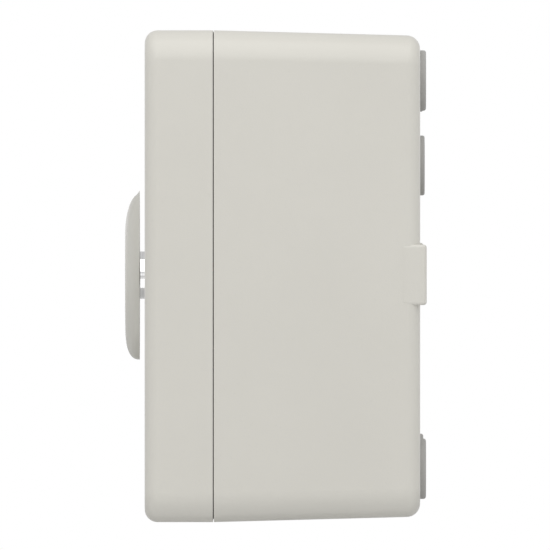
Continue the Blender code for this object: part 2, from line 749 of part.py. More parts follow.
def build_cells(can, copper, plate, steel, tray_finish, cover_finish):
    top = CELL_BOTTOM_Z + CELL_SIZE[2]
    terminals = [CELL_CENTRE_Y - TERMINAL_OFFSET_Y, CELL_CENTRE_Y + TERMINAL_OFFSET_Y]
    for index in range(CELL_COUNT):
        x = cell_x(index)
        low = (-CELL_SIZE[0] / 2, CELL_CENTRE_Y - CELL_SIZE[1] / 2, CELL_BOTTOM_Z)
        high = (CELL_SIZE[0] / 2, CELL_CENTRE_Y + CELL_SIZE[1] / 2, top)
        cell = add(f"cell_{index + 1}", box(low, high, CELL_EASE), can, at=(x, 0.0, 0.0))
        posts = bmesh.new()
        for y in terminals:
            place = Matrix.Translation((x, y, top + (TERMINAL_HEIGHT - TERMINAL_ROOT) / 2))
            bmesh.ops.create_cone(
                posts,
                cap_ends=True,
                segments=SMALL_ROUND,
                radius1=TERMINAL_RADIUS,
                radius2=TERMINAL_RADIUS,
                depth=TERMINAL_HEIGHT + TERMINAL_ROOT,
                matrix=place,
            )
        join(cell, guide(f"cell_{index + 1}_posts_guide", posts))
    level = top + TERMINAL_HEIGHT + GAP
    for index in range(CELL_COUNT - 1):
        x = (cell_x(index) + cell_x(index + 1)) / 2
        y = terminals[index % 2]
        half_x = BUSBAR_SIZE[0] / 2
        half_y = BUSBAR_SIZE[1] / 2
        thick = BUSBAR_SIZE[2]
        under = [
            (-half_x, 0.0),
            (-BUSBAR_HUMP_FOOT, 0.0),
            (-BUSBAR_HUMP_TOP, BUSBAR_HUMP),
            (BUSBAR_HUMP_TOP, BUSBAR_HUMP),
            (BUSBAR_HUMP_FOOT, 0.0),
            (half_x, 0.0),
        ]
        over = [
            (half_x, thick),
            (BUSBAR_HUMP_FOOT - BUSBAR_HUMP_LEAN, thick),
            (BUSBAR_HUMP_TOP - BUSBAR_HUMP_LEAN, BUSBAR_HUMP + thick),
            (BUSBAR_HUMP_LEAN - BUSBAR_HUMP_TOP, BUSBAR_HUMP + thick),
            (BUSBAR_HUMP_LEAN - BUSBAR_HUMP_FOOT, thick),
            (-half_x, thick),
        ]
        bar = bmesh.new()
        face = bar.faces.new([bar.verts.new((px, -half_y, pz)) for px, pz in under + over])
        grown = bmesh.ops.extrude_face_region(bar, geom=[face])
        moved = [g for g in grown["geom"] if isinstance(g, bmesh.types.BMVert)]
        bmesh.ops.translate(bar, verts=moved, vec=(0.0, 2 * half_y, 0.0))
        add(f"busbar_{index + 1}", bar, copper, at=(x, y, level))
    reach = CELL_COUNT * CELL_PITCH / 2 + GAP
    front = CELL_CENTRE_Y - CELL_SIZE[1] / 2
    back = CELL_CENTRE_Y + CELL_SIZE[1] / 2
    for side, name in ((-1, "left"), (1, "right")):
        near, far = sorted((side * reach, side * (reach + END_PLATE)))
        plate_box = box(
            (near, front, CELL_BOTTOM_Z), (far, back, top - END_PLATE_DROP), END_PLATE_EASE
        )
        add(f"cell_end_plate_{name}", plate_box, plate)
    inner_x = reach + END_PLATE + GAP
    for z, name in zip(STRAP_LEVELS, ("lower", "upper")):
        outer = strap_block(inner_x, front, back, z, STRAP_THICKNESS, 0.0)
        strap = add(f"module_strap_{name}", outer, steel)
        inner = strap_block(inner_x, front, back, z, 0.0, STRAP_THICKNESS)
        cut(strap, guide(f"module_strap_{name}_guide", inner))
    build_tray(tray_finish, inner_x + STRAP_THICKNESS, front, back)
    build_terminal_cover(cover_finish, reach + END_PLATE, front, back, level)


def strap_block(half_x, front, back, z, thickness, spare):
    """The block within a strap around the cells, grown outwards by a thickness, at one level."""
    half_z = STRAP_HEIGHT / 2 + spare
    reach = half_x + thickness
    return box(
        (-reach, front - GAP - thickness, z - half_z), (reach, back + GAP + thickness, z + half_z)
    )


def build_tray(finish, half_x, front, back):
    """A sheet tray under the cells with an upright lip in front and behind."""
    base_low = CELL_BOTTOM_Z - GAP - SHEET
    outer_front = front - 2 * GAP - STRAP_THICKNESS - SHEET
    outer_back = back + 2 * GAP + STRAP_THICKNESS + SHEET
    outline = [
        (outer_front, base_low),
        (outer_back, base_low),
        (outer_back, TRAY_BACK_LIP_Z),
        (outer_back - SHEET, TRAY_BACK_LIP_Z),
        (outer_back - SHEET, base_low + SHEET),
        (outer_front + SHEET, base_low + SHEET),
        (outer_front + SHEET, TRAY_FRONT_LIP_Z),
        (outer_front, TRAY_FRONT_LIP_Z),
    ]
    builder = bmesh.new()
    face = builder.faces.new([builder.verts.new((-half_x, y, z)) for y, z in outline])
    grown = bmesh.ops.extrude_face_region(builder, geom=[face])
    moved = [g for g in grown["geom"] if isinstance(g, bmesh.types.BMVert)]
    bmesh.ops.translate(builder, verts=moved, vec=(2 * half_x, 0.0, 0.0))
    add("cell_tray", builder, finish)


def build_terminal_cover(finish, half_x, front, back, level):
    """A shallow insulating lid over the busbars, open for the two pack leads."""
    floor = CELL_BOTTOM_Z + CELL_SIZE[2] + GAP
    roof = level + BUSBAR_SIZE[2] + BUSBAR_HUMP + LID_CLEARANCE
    lid = add(
        "terminal_cover",
        box((-half_x, front, floor), (half_x, back, roof + LID_WALL), LID_EASE),
        finish,
    )
    inside = box(
        (-half_x + LID_WALL, front + LID_WALL, floor - WALL), (half_x - LID_WALL, back - LID_WALL, roof)
    )
    cut(lid, guide("terminal_cover_inside_guide", inside))
    windows = bmesh.new()
    y = CELL_CENTRE_Y + TERMINAL_OFFSET_Y
    for index in (0, CELL_COUNT - 1):
        x = cell_x(index)
        box_into(
            windows,
            (x - LEAD_WINDOW, y - LEAD_WINDOW, roof - WALL),
            (x + LEAD_WINDOW, y + LEAD_WINDOW, roof + WALL),
        )
    cut(lid, guide("lead_windows_guide", windows))


def build_chassis(sheet_metal):
    plate = add(
        "chassis_plate",
        box(
            (-CHASSIS_HALF_WIDTH, CHASSIS_Y, CHASSIS_BOTTOM_Z),
            (CHASSIS_HALF_WIDTH, CHASSIS_Y + SHEET, CHASSIS_TOP_Z),
        ),
        sheet_metal,
    )
    opening = rods(
        [(0.0, ENTRY_Z)], CHASSIS_ENTRY_RADIUS, CHASSIS_Y - WALL, CHASSIS_Y + 2 * WALL, ROUND
    )
    cut(plate, guide("chassis_entry_guide", opening))
    posts = bmesh.new()
    reach = BOARD_SIZE / 2 - BOARD_HOLE_INSET
    for centre_x, y in ((-BOARD_CENTRE_X, INVERTER_BOARD_Y), (BOARD_CENTRE_X, BMS_BOARD_Y)):
        post = rod_profile(STANDOFF_RADIUS, y + GAP, CHASSIS_Y + SHEET / 2)
        for place in corners(reach, BOARD_CENTRE_Z - reach, BOARD_CENTRE_Z + reach, centre_x):
            turned_into(posts, post, place, 8)
    join(plate, guide("board_posts_guide", posts))


def board(name, centre_x, y, finish):
    half = BOARD_SIZE / 2
    low = (centre_x - half, y - BOARD_THICKNESS, BOARD_CENTRE_Z - half)
    high = (centre_x + half, y, BOARD_CENTRE_Z + half)
    add(name, box(low, high), finish)


def part_box(board_x, surface, low, high, height, ease):
    """A block that stands on a board; low and high are (x, z) from the centre of the board."""
    return box(
        (board_x + low[0], surface - height, BOARD_CENTRE_Z + low[1]),
        (board_x + high[0], surface, BOARD_CENTRE_Z + high[1]),
        ease,
    )


def build_heat_sink(aluminium):
    x_middle = -BOARD_CENTRE_X
    base_y = CHASSIS_Y - GAP
    sink = bmesh.new()
    box_into(
        sink,
        (x_middle - SINK_HALF, base_y - SINK_BASE, BOARD_CENTRE_Z - SINK_HALF),
        (x_middle + SINK_HALF, base_y, BOARD_CENTRE_Z + SINK_HALF),
    )
    heat_sink = add("inverter_heat_sink", sink, aluminium)
    fins = bmesh.new()
    first = x_middle - SINK_HALF + FIN_INSET
    pitch = 2 * (SINK_HALF - FIN_INSET) / (SINK_FIN_COUNT - 1)
    for k in range(SINK_FIN_COUNT):
        x = first + k * pitch
        box_into(
            fins,
            (x - FIN_HALF, INVERTER_BOARD_Y + FIN_CLEARANCE, BOARD_CENTRE_Z - SINK_HALF + FIN_ROOT),
            (x + FIN_HALF, base_y - SINK_BASE + FIN_ROOT, BOARD_CENTRE_Z + SINK_HALF - FIN_ROOT),
        )
    join(heat_sink, guide("heat_sink_fins_guide", fins))


def build_inverter(green, copper, ferrite, sleeve):
    x_middle = -BOARD_CENTRE_X
    board("inverter_board", x_middle, INVERTER_BOARD_Y, green)
    surface = INVERTER_BOARD_Y - BOARD_THICKNESS - GAP
    for number, (x, z) in enumerate(CAPACITOR_PLACES, 1):
        place = (x_middle + x, 0.0, BOARD_CENTRE_Z + z)
        can = rod_profile(CAPACITOR_RADIUS, surface - CAPACITOR_LENGTH, surface, CAPACITOR_EASE)
        add(f"bulk_capacitor_{number}", turned(can), sleeve, at=place, smooth=True)
    core = add(
        "transformer_core",
        part_box(x_middle, surface, CORE_LOW, CORE_HIGH, CORE_HEIGHT, CORE_EASE),
        ferrite,
    )
    window_low = x_middle + CORE_LOW[0] + CORE_WALL
    window_high = x_middle + CORE_HIGH[0] - CORE_WALL
    window_front = surface - CORE_HEIGHT + CORE_WALL
    window_back = surface - CORE_BACK_WALL
    bottom = BOARD_CENTRE_Z + CORE_LOW[1]
    top = BOARD_CENTRE_Z + CORE_HIGH[1]
    window = box(
        (window_low, window_front, bottom - CORE_HEIGHT), (window_high, window_back, top + CORE_HEIGHT)
    )
    cut(core, guide("core_window_guide", window))
    winding = box(
        (window_low + GAP, window_front + GAP, bottom + WINDING_INSET),
        (window_high - GAP, window_back - GAP, top - WINDING_INSET),
        WINDING_EASE,
    )
    add("transformer_winding", winding, copper)
    profile = []
    for k in range(CHOKE_SIDES):
        turn = math.tau * k / CHOKE_SIDES
        radius = CHOKE_RADIUS + CHOKE_SECTION * math.cos(turn)
        profile.append((radius, surface - CHOKE_HEIGHT + CHOKE_SECTION * math.sin(turn)))
    place = (x_middle + CHOKE_PLACE[0], BOARD_CENTRE_Z + CHOKE_PLACE[1])
    add("output_choke", turned(profile, place), copper, smooth=True)


def build_management(green, aluminium, black, sleeve):
    x_middle = BOARD_CENTRE_X
    board("bms_board", x_middle, BMS_BOARD_Y, green)
    surface = BMS_BOARD_Y - BOARD_THICKNESS - GAP
    bar = part_box(x_middle, surface, BAR_LOW, BAR_HIGH, BAR_HEIGHT, PART_EASE)
    add("bms_heat_sink", bar, aluminium)
    relay = part_box(x_middle, surface, RELAY_LOW, RELAY_HIGH, RELAY_HEIGHT, PART_EASE)
    add("main_relay", relay, black)
    holder = add(
        "fuse_holder",
        part_box(x_middle, surface, HOLDER_LOW, HOLDER_HIGH, HOLDER_HEIGHT, PART_EASE),
        black,
    )
    half_channel = (HOLDER_HIGH[1] - HOLDER_LOW[1]) / 2 - HOLDER_WALL
    channel = box(
        (x_middle + 2 * HOLDER_LOW[0], surface - 2 * HOLDER_HEIGHT, fuse_z() - half_channel),
        (x_middle + 2 * HOLDER_HIGH[0], surface - HOLDER_FLOOR, fuse_z() + half_channel),
    )
    cut(holder, guide("fuse_channel_guide", channel))
    fuse = bmesh.new()
    bmesh.ops.create_cone(
        fuse,
        cap_ends=True,
        segments=ROUND,
        radius1=FUSE_RADIUS,
        radius2=FUSE_RADIUS,
        depth=FUSE_LENGTH,
        matrix=Matrix.Translation((x_middle + FUSE_CENTRE_X, fuse_y(), fuse_z()))
        @ Matrix.Rotation(math.pi / 2, 4, "Y"),
    )
    add("main_fuse", fuse, sleeve, smooth=True)


def fuse_y():
    return BMS_BOARD_Y - BOARD_THICKNESS - GAP - FUSE_RISE


def fuse_z():
    return BOARD_CENTRE_Z + (HOLDER_LOW[1] + HOLDER_HIGH[1]) / 2


def build_terminal_block(black):
    back = CHASSIS_Y - GAP
    front = back - BLOCK_HEIGHT
    terminal_block = add(
        "terminal_block",
        box((-BLOCK_HALF_WIDTH, front, BLOCK_LOW_Z), (BLOCK_HALF_WIDTH, back, BLOCK_HIGH_Z), PART_EASE),
        black,
    )
    level = (BLOCK_LOW_Z + BLOCK_HIGH_Z) / 2
    places = [(-WELL_PITCH, level), (0.0, level), (WELL_PITCH, level)]
    wells = rods(places, WELL_RADIUS, front - WALL, front + WELL_DEPTH)
    cut(terminal_block, guide("terminal_wells_guide", wells))


def lead(name, points, finish):
    """A round insulated cable through the given points, on one smooth curve."""
    curve = bpy.data.curves.new(name, "CURVE")
    curve.dimensions = "3D"
    curve.bevel_depth = CABLE_RADIUS
    curve.bevel_resolution = 2
    curve.use_fill_caps = True
    path = smooth_path([Vector(p) for p in points])
    spline = curve.splines.new("POLY")
    spline.points.add(len(path) - 1)
    for point, place in zip(spline.points, path):
        point.co = (*place, 1.0)
    curve.materials.append(finish)
    made = bpy.data.objects.new(name, curve)
    bpy.context.scene.collection.objects.link(made)


def smooth_path(points, steps=5):
    """Catmull-Rom points through a route, its ends included."""
    padded = [points[0] * 2 - points[1], *points, points[-1] * 2 - points[-2]]
    path = []
    for a, b, c, d in zip(padded, padded[1:], padded[2:], padded[3:]):
        for k in range(steps):
            t = k / steps
            path.append(
                0.5
                * (
                    2 * b
                    + (c - a) * t
                    + (2 * a - 5 * b + 4 * c - d) * t**2
                    + (3 * b - a - 3 * c + d) * t**3
                )
            )
    path.append(points[-1])
    return path


def switch_end(side):
    """The last points of a lead, straight into the side of the isolator."""
    x = SWITCH_SIZE[0] / 2
    y = SWITCH_BACK_Y - SWITCH_SIZE[1] / 2
    return [
        (side * (x + LEAD_SWEEP), y + 0.4 * LEAD_SWEEP, SWITCH_LEAD_Z),
        (side * (x + LEAD_APPROACH), y, SWITCH_LEAD_Z),
        (side * (x + LEAD_STRAIGHT), y, SWITCH_LEAD_Z),
        (side * (x + GAP), y, SWITCH_LEAD_Z),
    ]


def build_leads(red, black):
    pole_y = CELL_CENTRE_Y + TERMINAL_OFFSET_Y
    start = CELL_BOTTOM_Z + CELL_SIZE[2] + TERMINAL_HEIGHT + 2 * GAP
    half_fuse = FUSE_LENGTH / 2
    fuse_right = BOARD_CENTRE_X + FUSE_CENTRE_X + half_fuse
    fuse_left = BOARD_CENTRE_X + FUSE_CENTRE_X - half_fuse
    y = fuse_y()
    z = fuse_z()
    pole = cell_x(CELL_COUNT - 1)
    lead(
        "positive_lead",
        [
            (pole, pole_y, start),
            (pole, pole_y, start + LEAD_RISE),
            (pole + 0.3 * LEAD_SWEEP, pole_y - 0.1 * LEAD_SWEEP, 0.0),
            (pole + 0.6 * LEAD_SWEEP, pole_y - 0.4 * LEAD_SWEEP, z - 1.175 * LEAD_SWEEP),
            (pole + 0.5 * LEAD_SWEEP, y - 0.1 * LEAD_SWEEP, z - 0.4 * LEAD_SWEEP),
            (fuse_right + LEAD_APPROACH + LEAD_STRAIGHT / 3, y, z),
            (fuse_right + GAP, y, z),
        ],
        red,
    )
    lead(
        "isolator_lead",
        [
            (fuse_left - GAP, y, z),
            (fuse_left - 0.35 * LEAD_SWEEP, y - 0.075 * LEAD_SWEEP, z),
            (fuse_left - 0.95 * LEAD_SWEEP, y - 1.1 * LEAD_SWEEP, z - 0.4 * LEAD_SWEEP),
            (fuse_left - 1.35 * LEAD_SWEEP, y - 3.0 * LEAD_SWEEP, z - 1.8 * LEAD_SWEEP),
            *switch_end(1),
        ],
        red,
    )
    middle_y = SWITCH_BACK_Y - SWITCH_SIZE[1] / 2 + 2 * LEAD_SWEEP
    lead(
        "negative_lead",
        [
            (-pole, pole_y, start),
            (-pole, pole_y, start + LEAD_RISE),
            (-pole + 0.6 * LEAD_SWEEP, pole_y - 0.5 * LEAD_SWEEP, -0.5 * LEAD_SWEEP),
            (-pole + 2.5 * LEAD_SWEEP, middle_y, SWITCH_LEAD_Z + 0.1 * LEAD_SWEEP),
            *switch_end(-1),
        ],
        black,
    )


def build():
    clear_scene()
    body = material("moulded_body", (0.66, 0.64, 0.59), 0.45)
    handle = material("handle_plastic", (0.60, 0.58, 0.54), 0.45)
    white = material("white_plastic", (0.86, 0.86, 0.85), 0.4)
    chrome = material("bright_chrome", (0.90, 0.90, 0.90), 0.1, 1.0)
    rubber = material("grey_rubber", (0.42, 0.41, 0.39), 0.8)
    dark = material("dark_rubber", (0.09, 0.09, 0.09), 0.85)
    black = material("black_plastic", (0.04, 0.04, 0.045), 0.5)
    steel = material("zinc_steel", (0.62, 0.62, 0.60), 0.35, 1.0)
    aluminium = material("bare_aluminium", (0.72, 0.73, 0.74), 0.35, 1.0)
    brass = material("brass", (0.72, 0.56, 0.26), 0.35, 1.0)
    copper = material("copper", (0.80, 0.42, 0.26), 0.35, 1.0)
    green = material("circuit_board", (0.05, 0.25, 0.12), 0.45)
    ferrite = material("ferrite", (0.06, 0.06, 0.065), 0.6)
    blue = material("blue_sleeve", (0.08, 0.22, 0.45), 0.5)
    red = material("red_cable", (0.55, 0.04, 0.03), 0.5)
    black_cable = material("black_cable", (0.03, 0.03, 0.03), 0.5)
    clear = material("smoke_lid", (0.30, 0.31, 0.32), 0.35)

    cover_frame = empty("cover_frame", (0.0, 0.0, 0.0))
    handle_frame = empty("handle_axis", (0.0, 0.0, 0.0), cover_frame)
    shaft_frame = empty("shaft_axis", (0.0, 0.0, 0.0))

    build_housing(body)
    build_gasket(dark)
    build_cover(body, cover_frame)
    build_cover_screws(steel, cover_frame)
    build_handle(handle, chrome, dark, brass, steel, cover_frame, handle_frame)
    build_wall_side(rubber, dark)
    build_isolator(black, white, steel, shaft_frame)
    build_bracket(steel)
    build_cells(aluminium, copper, aluminium, steel, aluminium, clear)
    build_chassis(aluminium)
    build_heat_sink(aluminium)
    build_inverter(green, copper, ferrite, blue)
    build_management(green, aluminium, black, blue)
    build_terminal_block(black)
    build_leads(red, black_cable)


build()
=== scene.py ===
import math
import random

import bmesh
import bpy
from mathutils import Matrix, Vector


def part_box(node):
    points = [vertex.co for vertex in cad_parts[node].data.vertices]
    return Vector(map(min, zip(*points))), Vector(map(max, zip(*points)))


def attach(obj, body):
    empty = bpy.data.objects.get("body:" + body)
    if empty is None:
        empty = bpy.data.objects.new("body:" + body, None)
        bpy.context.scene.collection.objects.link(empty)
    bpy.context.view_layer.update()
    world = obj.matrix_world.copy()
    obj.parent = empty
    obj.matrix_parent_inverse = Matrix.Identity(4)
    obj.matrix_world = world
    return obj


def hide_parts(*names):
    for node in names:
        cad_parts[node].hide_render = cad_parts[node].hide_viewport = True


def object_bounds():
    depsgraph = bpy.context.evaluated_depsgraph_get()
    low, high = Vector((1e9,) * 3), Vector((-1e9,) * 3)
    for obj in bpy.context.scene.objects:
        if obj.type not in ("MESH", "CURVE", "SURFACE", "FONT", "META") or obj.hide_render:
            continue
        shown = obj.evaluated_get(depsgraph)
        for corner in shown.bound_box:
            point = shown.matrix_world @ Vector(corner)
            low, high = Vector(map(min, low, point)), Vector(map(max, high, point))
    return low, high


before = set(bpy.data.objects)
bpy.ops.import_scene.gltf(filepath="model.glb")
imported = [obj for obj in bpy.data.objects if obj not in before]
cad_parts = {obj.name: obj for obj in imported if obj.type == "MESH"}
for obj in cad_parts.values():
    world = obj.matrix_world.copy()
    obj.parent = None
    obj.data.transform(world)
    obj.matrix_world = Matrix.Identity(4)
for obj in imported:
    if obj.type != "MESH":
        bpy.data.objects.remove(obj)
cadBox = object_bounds()

tau = math.tau
gap = 0.0003  # between pieces that would only touch
axes = {"X": Vector((1, 0, 0)), "Y": Vector((0, 1, 0)), "Z": Vector((0, 0, 1))}


# shader node groups, each built once

def newGroup(name, inputs, outputs):
    group = bpy.data.node_groups.new(name, "ShaderNodeTree")
    for label, kind, value in inputs:
        socket = group.interface.new_socket(name=label, in_out="INPUT", socket_type=kind)
        if value is not None:
            socket.default_value = value
    for label, kind in outputs:
        group.interface.new_socket(name=label, in_out="OUTPUT", socket_type=kind)
    nodes = group.nodes
    return group, nodes, group.links, nodes.new("NodeGroupInput"), nodes.new("NodeGroupOutput")


def noiseNode(nodes, scale, detail, rough=0.5):
    node = nodes.new("ShaderNodeTexNoise")
    node.inputs["Scale"].default_value = scale
    node.inputs["Detail"].default_value = detail
    node.inputs["Roughness"].default_value = rough
    return node


def mathNode(nodes, operation, a=None, b=None):
    node = nodes.new("ShaderNodeMath")
    node.operation = operation
    if a is not None:
        node.inputs[0].default_value = a
    if b is not None:
        node.inputs[1].default_value = b
    return node


def rangeNode(nodes, low, high, newLow, newHigh):
    node = nodes.new("ShaderNodeMapRange")
    for label, value in zip(("From Min", "From Max", "To Min", "To Max"), (low, high, newLow, newHigh)):
        node.inputs[label].default_value = value
    return node


def buildGrainGroup():
    # fine spark-eroded mould texture, with a slow cloudiness for tone and gloss
    group, nodes, links, given, out = newGroup(
        "mouldGrain",
        [("Vector", "NodeSocketVector", None), ("Scale", "NodeSocketFloat", 1.0)],
        [("Height", "NodeSocketFloat"), ("Cloud", "NodeSocketFloat"), ("Speckle", "NodeSocketFloat")],
    )
    scaled = nodes.new("ShaderNodeVectorMath")
    scaled.operation = "SCALE"
    links.new(given.outputs["Vector"], scaled.inputs[0])
    links.new(given.outputs["Scale"], scaled.inputs["Scale"])
    fine = noiseNode(nodes, 2600.0, 2.0)
    cells = nodes.new("ShaderNodeTexVoronoi")
    cells.inputs["Scale"].default_value = 1500.0
    cloud = noiseNode(nodes, 9.0, 4.0, 0.55)
    speck = noiseNode(nodes, 420.0, 3.0, 0.6)
    for node in (fine, cells, cloud, speck):
        links.new(scaled.outputs["Vector"], node.inputs["Vector"])
    both = mathNode(nodes, "ADD")
    links.new(fine.outputs["Fac"], both.inputs[0])
    links.new(cells.outputs["Distance"], both.inputs[1])
    links.new(both.outputs[0], out.inputs["Height"])
    links.new(cloud.outputs["Fac"], out.inputs["Cloud"])
    links.new(speck.outputs["Fac"], out.inputs["Speckle"])
    return group


def buildBrushedGroup():
    # drawn or rolled metal: streaks along one axis
    group, nodes, links, given, out = newGroup(
        "brushedStreaks",
        [("Vector", "NodeSocketVector", None), ("Stretch", "NodeSocketVector", (1.0, 1.0, 1.0))],
        [("Height", "NodeSocketFloat"), ("Streak", "NodeSocketFloat")],
    )
    stretched = nodes.new("ShaderNodeVectorMath")
    stretched.operation = "MULTIPLY"
    links.new(given.outputs["Vector"], stretched.inputs[0])
    links.new(given.outputs["Stretch"], stretched.inputs[1])
    streaks = noiseNode(nodes, 300.0, 3.0, 0.6)
    broad = noiseNode(nodes, 40.0, 2.0, 0.5)
    for node in (streaks, broad):
        links.new(stretched.outputs["Vector"], node.inputs["Vector"])
    links.new(streaks.outputs["Fac"], out.inputs["Height"])
    mixed = mathNode(nodes, "ADD")
    links.new(streaks.outputs["Fac"], mixed.inputs[0])
    links.new(broad.outputs["Fac"], mixed.inputs[1])
    halved = mathNode(nodes, "MULTIPLY", b=0.5)
    links.new(mixed.outputs[0], halved.inputs[0])
    links.new(halved.outputs[0], out.inputs["Streak"])
    return group


def buildTraceGroup():
    # copper tracks under a solder mask: runs along both axes, and small round vias
    group, nodes, links, given, out = newGroup(
        "boardTraces",
        [("Vector", "NodeSocketVector", None)],
        [("Track", "NodeSocketFloat"), ("Via", "NodeSocketFloat")],
    )
    patch = noiseNode(nodes, 55.0, 1.0, 0.4)
    links.new(given.outputs["Vector"], patch.inputs["Vector"])
    masks = []
    for direction in ("X", "Z"):
        line = nodes.new("ShaderNodeTexWave")
        line.bands_direction = direction
        line.inputs["Scale"].default_value = 21.0
        line.inputs["Distortion"].default_value = 0.0
        links.new(given.outputs["Vector"], line.inputs["Vector"])
        cut = rangeNode(nodes, 0.55, 0.62, 0.0, 1.0)
        links.new(line.outputs["Fac"], cut.inputs["Value"])
        masks.append(cut.outputs["Result"])
    choose = rangeNode(nodes, 0.49, 0.51, 0.0, 1.0)
    links.new(patch.outputs["Fac"], choose.inputs["Value"])
    mix = nodes.new("ShaderNodeMix")
    links.new(choose.outputs["Result"], mix.inputs["Factor"])
    links.new(masks[0], mix.inputs[2])
    links.new(masks[1], mix.inputs[3])
    links.new(mix.outputs[0], out.inputs["Track"])
    dots = nodes.new("ShaderNodeTexVoronoi")
    dots.inputs["Scale"].default_value = 260.0
    links.new(given.outputs["Vector"], dots.inputs["Vector"])
    round_ = rangeNode(nodes, 0.10, 0.13, 1.0, 0.0)
    links.new(dots.outputs["Distance"], round_.inputs["Value"])
    links.new(round_.outputs["Result"], out.inputs["Via"])
    return group


grainGroup = buildGrainGroup()
brushedGroup = buildBrushedGroup()
boardGroup = buildTraceGroup()
print("shader groups built")


# materials

def newMaterial(name):
    made = bpy.data.materials.new(name)
    made.use_nodes = True
    tree = made.node_tree
    return made, tree.nodes, tree.links, tree.nodes["Principled BSDF"]


def placeGroup(nodes, group):
    node = nodes.new("ShaderNodeGroup")
    node.node_tree = group
    return node


def objectCoords(nodes):
    return nodes.new("ShaderNodeTexCoord").outputs["Object"]


def mixColours(nodes, links, factor, first, second):
    mix = nodes.new("ShaderNodeMix")
    mix.data_type = "RGBA"
    if factor is not None:
        links.new(factor, mix.inputs["Factor"])
    for socket, colour in ((mix.inputs[6], first), (mix.inputs[7], second)):
        if isinstance(colour, tuple):
            socket.default_value = (*colour, 1.0)
        else:
            links.new(colour, socket)
    return mix.outputs[2]


def ranged(nodes, links, source, low, high, newLow, newHigh):
    node = rangeNode(nodes, low, high, newLow, newHigh)
    links.new(source, node.inputs["Value"])
    return node.outputs["Result"]


def bumped(nodes, links, shader, height, distance, strength):
    bump = nodes.new("ShaderNodeBump")
    bump.inputs["Strength"].default_value = strength
    bump.inputs["Distance"].default_value = distance
    links.new(height, bump.inputs["Height"])
    links.new(bump.outputs["Normal"], shader.inputs["Normal"])


def mouldedPlastic(name, colour, rough, **changes):
    look = plasticLook(colour, rough, **changes)
    made, nodes, links, shader = newMaterial(name)
    coords = objectCoords(nodes)
    grain = placeGroup(nodes, grainGroup)
    grain.inputs["Scale"].default_value = look["grainScale"]
    links.new(coords, grain.inputs["Vector"])
    tone = ranged(nodes, links, grain.outputs["Cloud"], 0.3, 0.7, 0.0, 1.0)
    base = mixColours(nodes, links, tone, look["dark"], look["light"])
    speck = ranged(nodes, links, grain.outputs["Speckle"], 0.62, 0.75, 0.0, look["speckle"])
    base = mixColours(nodes, links, speck, base, look["speckColour"])
    links.new(base, shader.inputs["Base Color"])
    gloss = ranged(
        nodes, links, grain.outputs["Cloud"], 0.3, 0.7, look["rough"] - look["roughSpread"],
        look["rough"] + look["roughSpread"]
    )
    links.new(gloss, shader.inputs["Roughness"])
    shader.inputs["IOR"].default_value = look["ior"]
    bumped(nodes, links, shader, grain.outputs["Height"], look["bumpDepth"], look["bump"])
    return made


def metal(name, colour, rough, **changes):
    look = metalLook(colour, rough, **changes)
    made, nodes, links, shader = newMaterial(name)
    coords = objectCoords(nodes)
    brushed = placeGroup(nodes, brushedGroup)
    brushed.inputs["Stretch"].default_value = look["stretch"]
    links.new(coords, brushed.inputs["Vector"])
    base = mixColours(nodes, links, brushed.outputs["Streak"], look["dark"], look["light"])
    stain = noiseNode(nodes, look["stainScale"], 4.0, 0.6)
    links.new(coords, stain.inputs["Vector"])
    stained = ranged(nodes, links, stain.outputs["Fac"], 0.55, 0.75, 0.0, look["stain"])
    base = mixColours(nodes, links, stained, base, look["stainColour"])
    links.new(base, shader.inputs["Base Color"])
    shader.inputs["Metallic"].default_value = look["metallic"]
    gloss = ranged(
        nodes, links, brushed.outputs["Streak"], 0.3, 0.7, look["rough"] - look["roughSpread"],
        look["rough"] + look["roughSpread"]
    )
    links.new(gloss, shader.inputs["Roughness"])
    bumped(nodes, links, shader, brushed.outputs["Height"], look["bumpDepth"], look["bump"])
    return made


def solderMask(name):
    made, nodes, links, shader = newMaterial(name)
    coords = objectCoords(nodes)
    traces = placeGroup(nodes, boardGroup)
    links.new(coords, traces.inputs["Vector"])
    grain = placeGroup(nodes, grainGroup)
    links.new(coords, grain.inputs["Vector"])
    tone = ranged(nodes, links, grain.outputs["Cloud"], 0.3, 0.7, 0.0, 1.0)
    bare = mixColours(nodes, links, tone, (0.010, 0.085, 0.036), (0.014, 0.100, 0.043))
    covered = mixColours(nodes, links, traces.outputs["Track"], bare, (0.026, 0.160, 0.062))
    finish = mixColours(nodes, links, traces.outputs["Via"], covered, (0.56, 0.52, 0.40))
    links.new(finish, shader.inputs["Base Color"])
    shine = ranged(nodes, links, traces.outputs["Via"], 0.0, 1.0, 0.0, 0.8)
    links.new(shine, shader.inputs["Metallic"])
    gloss = ranged(nodes, links, grain.outputs["Speckle"], 0.3, 0.7, 0.26, 0.34)
    links.new(gloss, shader.inputs["Roughness"])
    bumped(nodes, links, shader, traces.outputs["Track"], 0.00005, 0.6)
    return made


def plasticLook(colour, rough, **changes):
    look = {
        "dark": tuple(c * 0.985 for c in colour),
        "light": tuple(min(1.0, c * 1.015) for c in colour),
        "speckColour": tuple(c * 0.9 for c in colour),
        "speckle": 0.25,
        "rough": rough,
        "roughSpread": 0.03,
        "ior": 1.46,
        "grainScale": 1.0,
        "bumpDepth": 0.00006,
        "bump": 0.35,
    }
    look.update(changes)
    return look


def metalLook(colour, rough, **changes):
    look = {
        "dark": tuple(c * 0.88 for c in colour),
        "light": tuple(min(1.0, c * 1.08) for c in colour),
        "stainColour": tuple(c * 0.7 for c in colour),
        "stain": 0.25,
        "stainScale": 35.0,
        "stretch": (1.0, 1.0, 1.0),
        "metallic": 1.0,
        "rough": rough,
        "roughSpread": 0.06,
        "bumpDepth": 0.00003,
        "bump": 0.3,
    }
    look.update(changes)
    return look


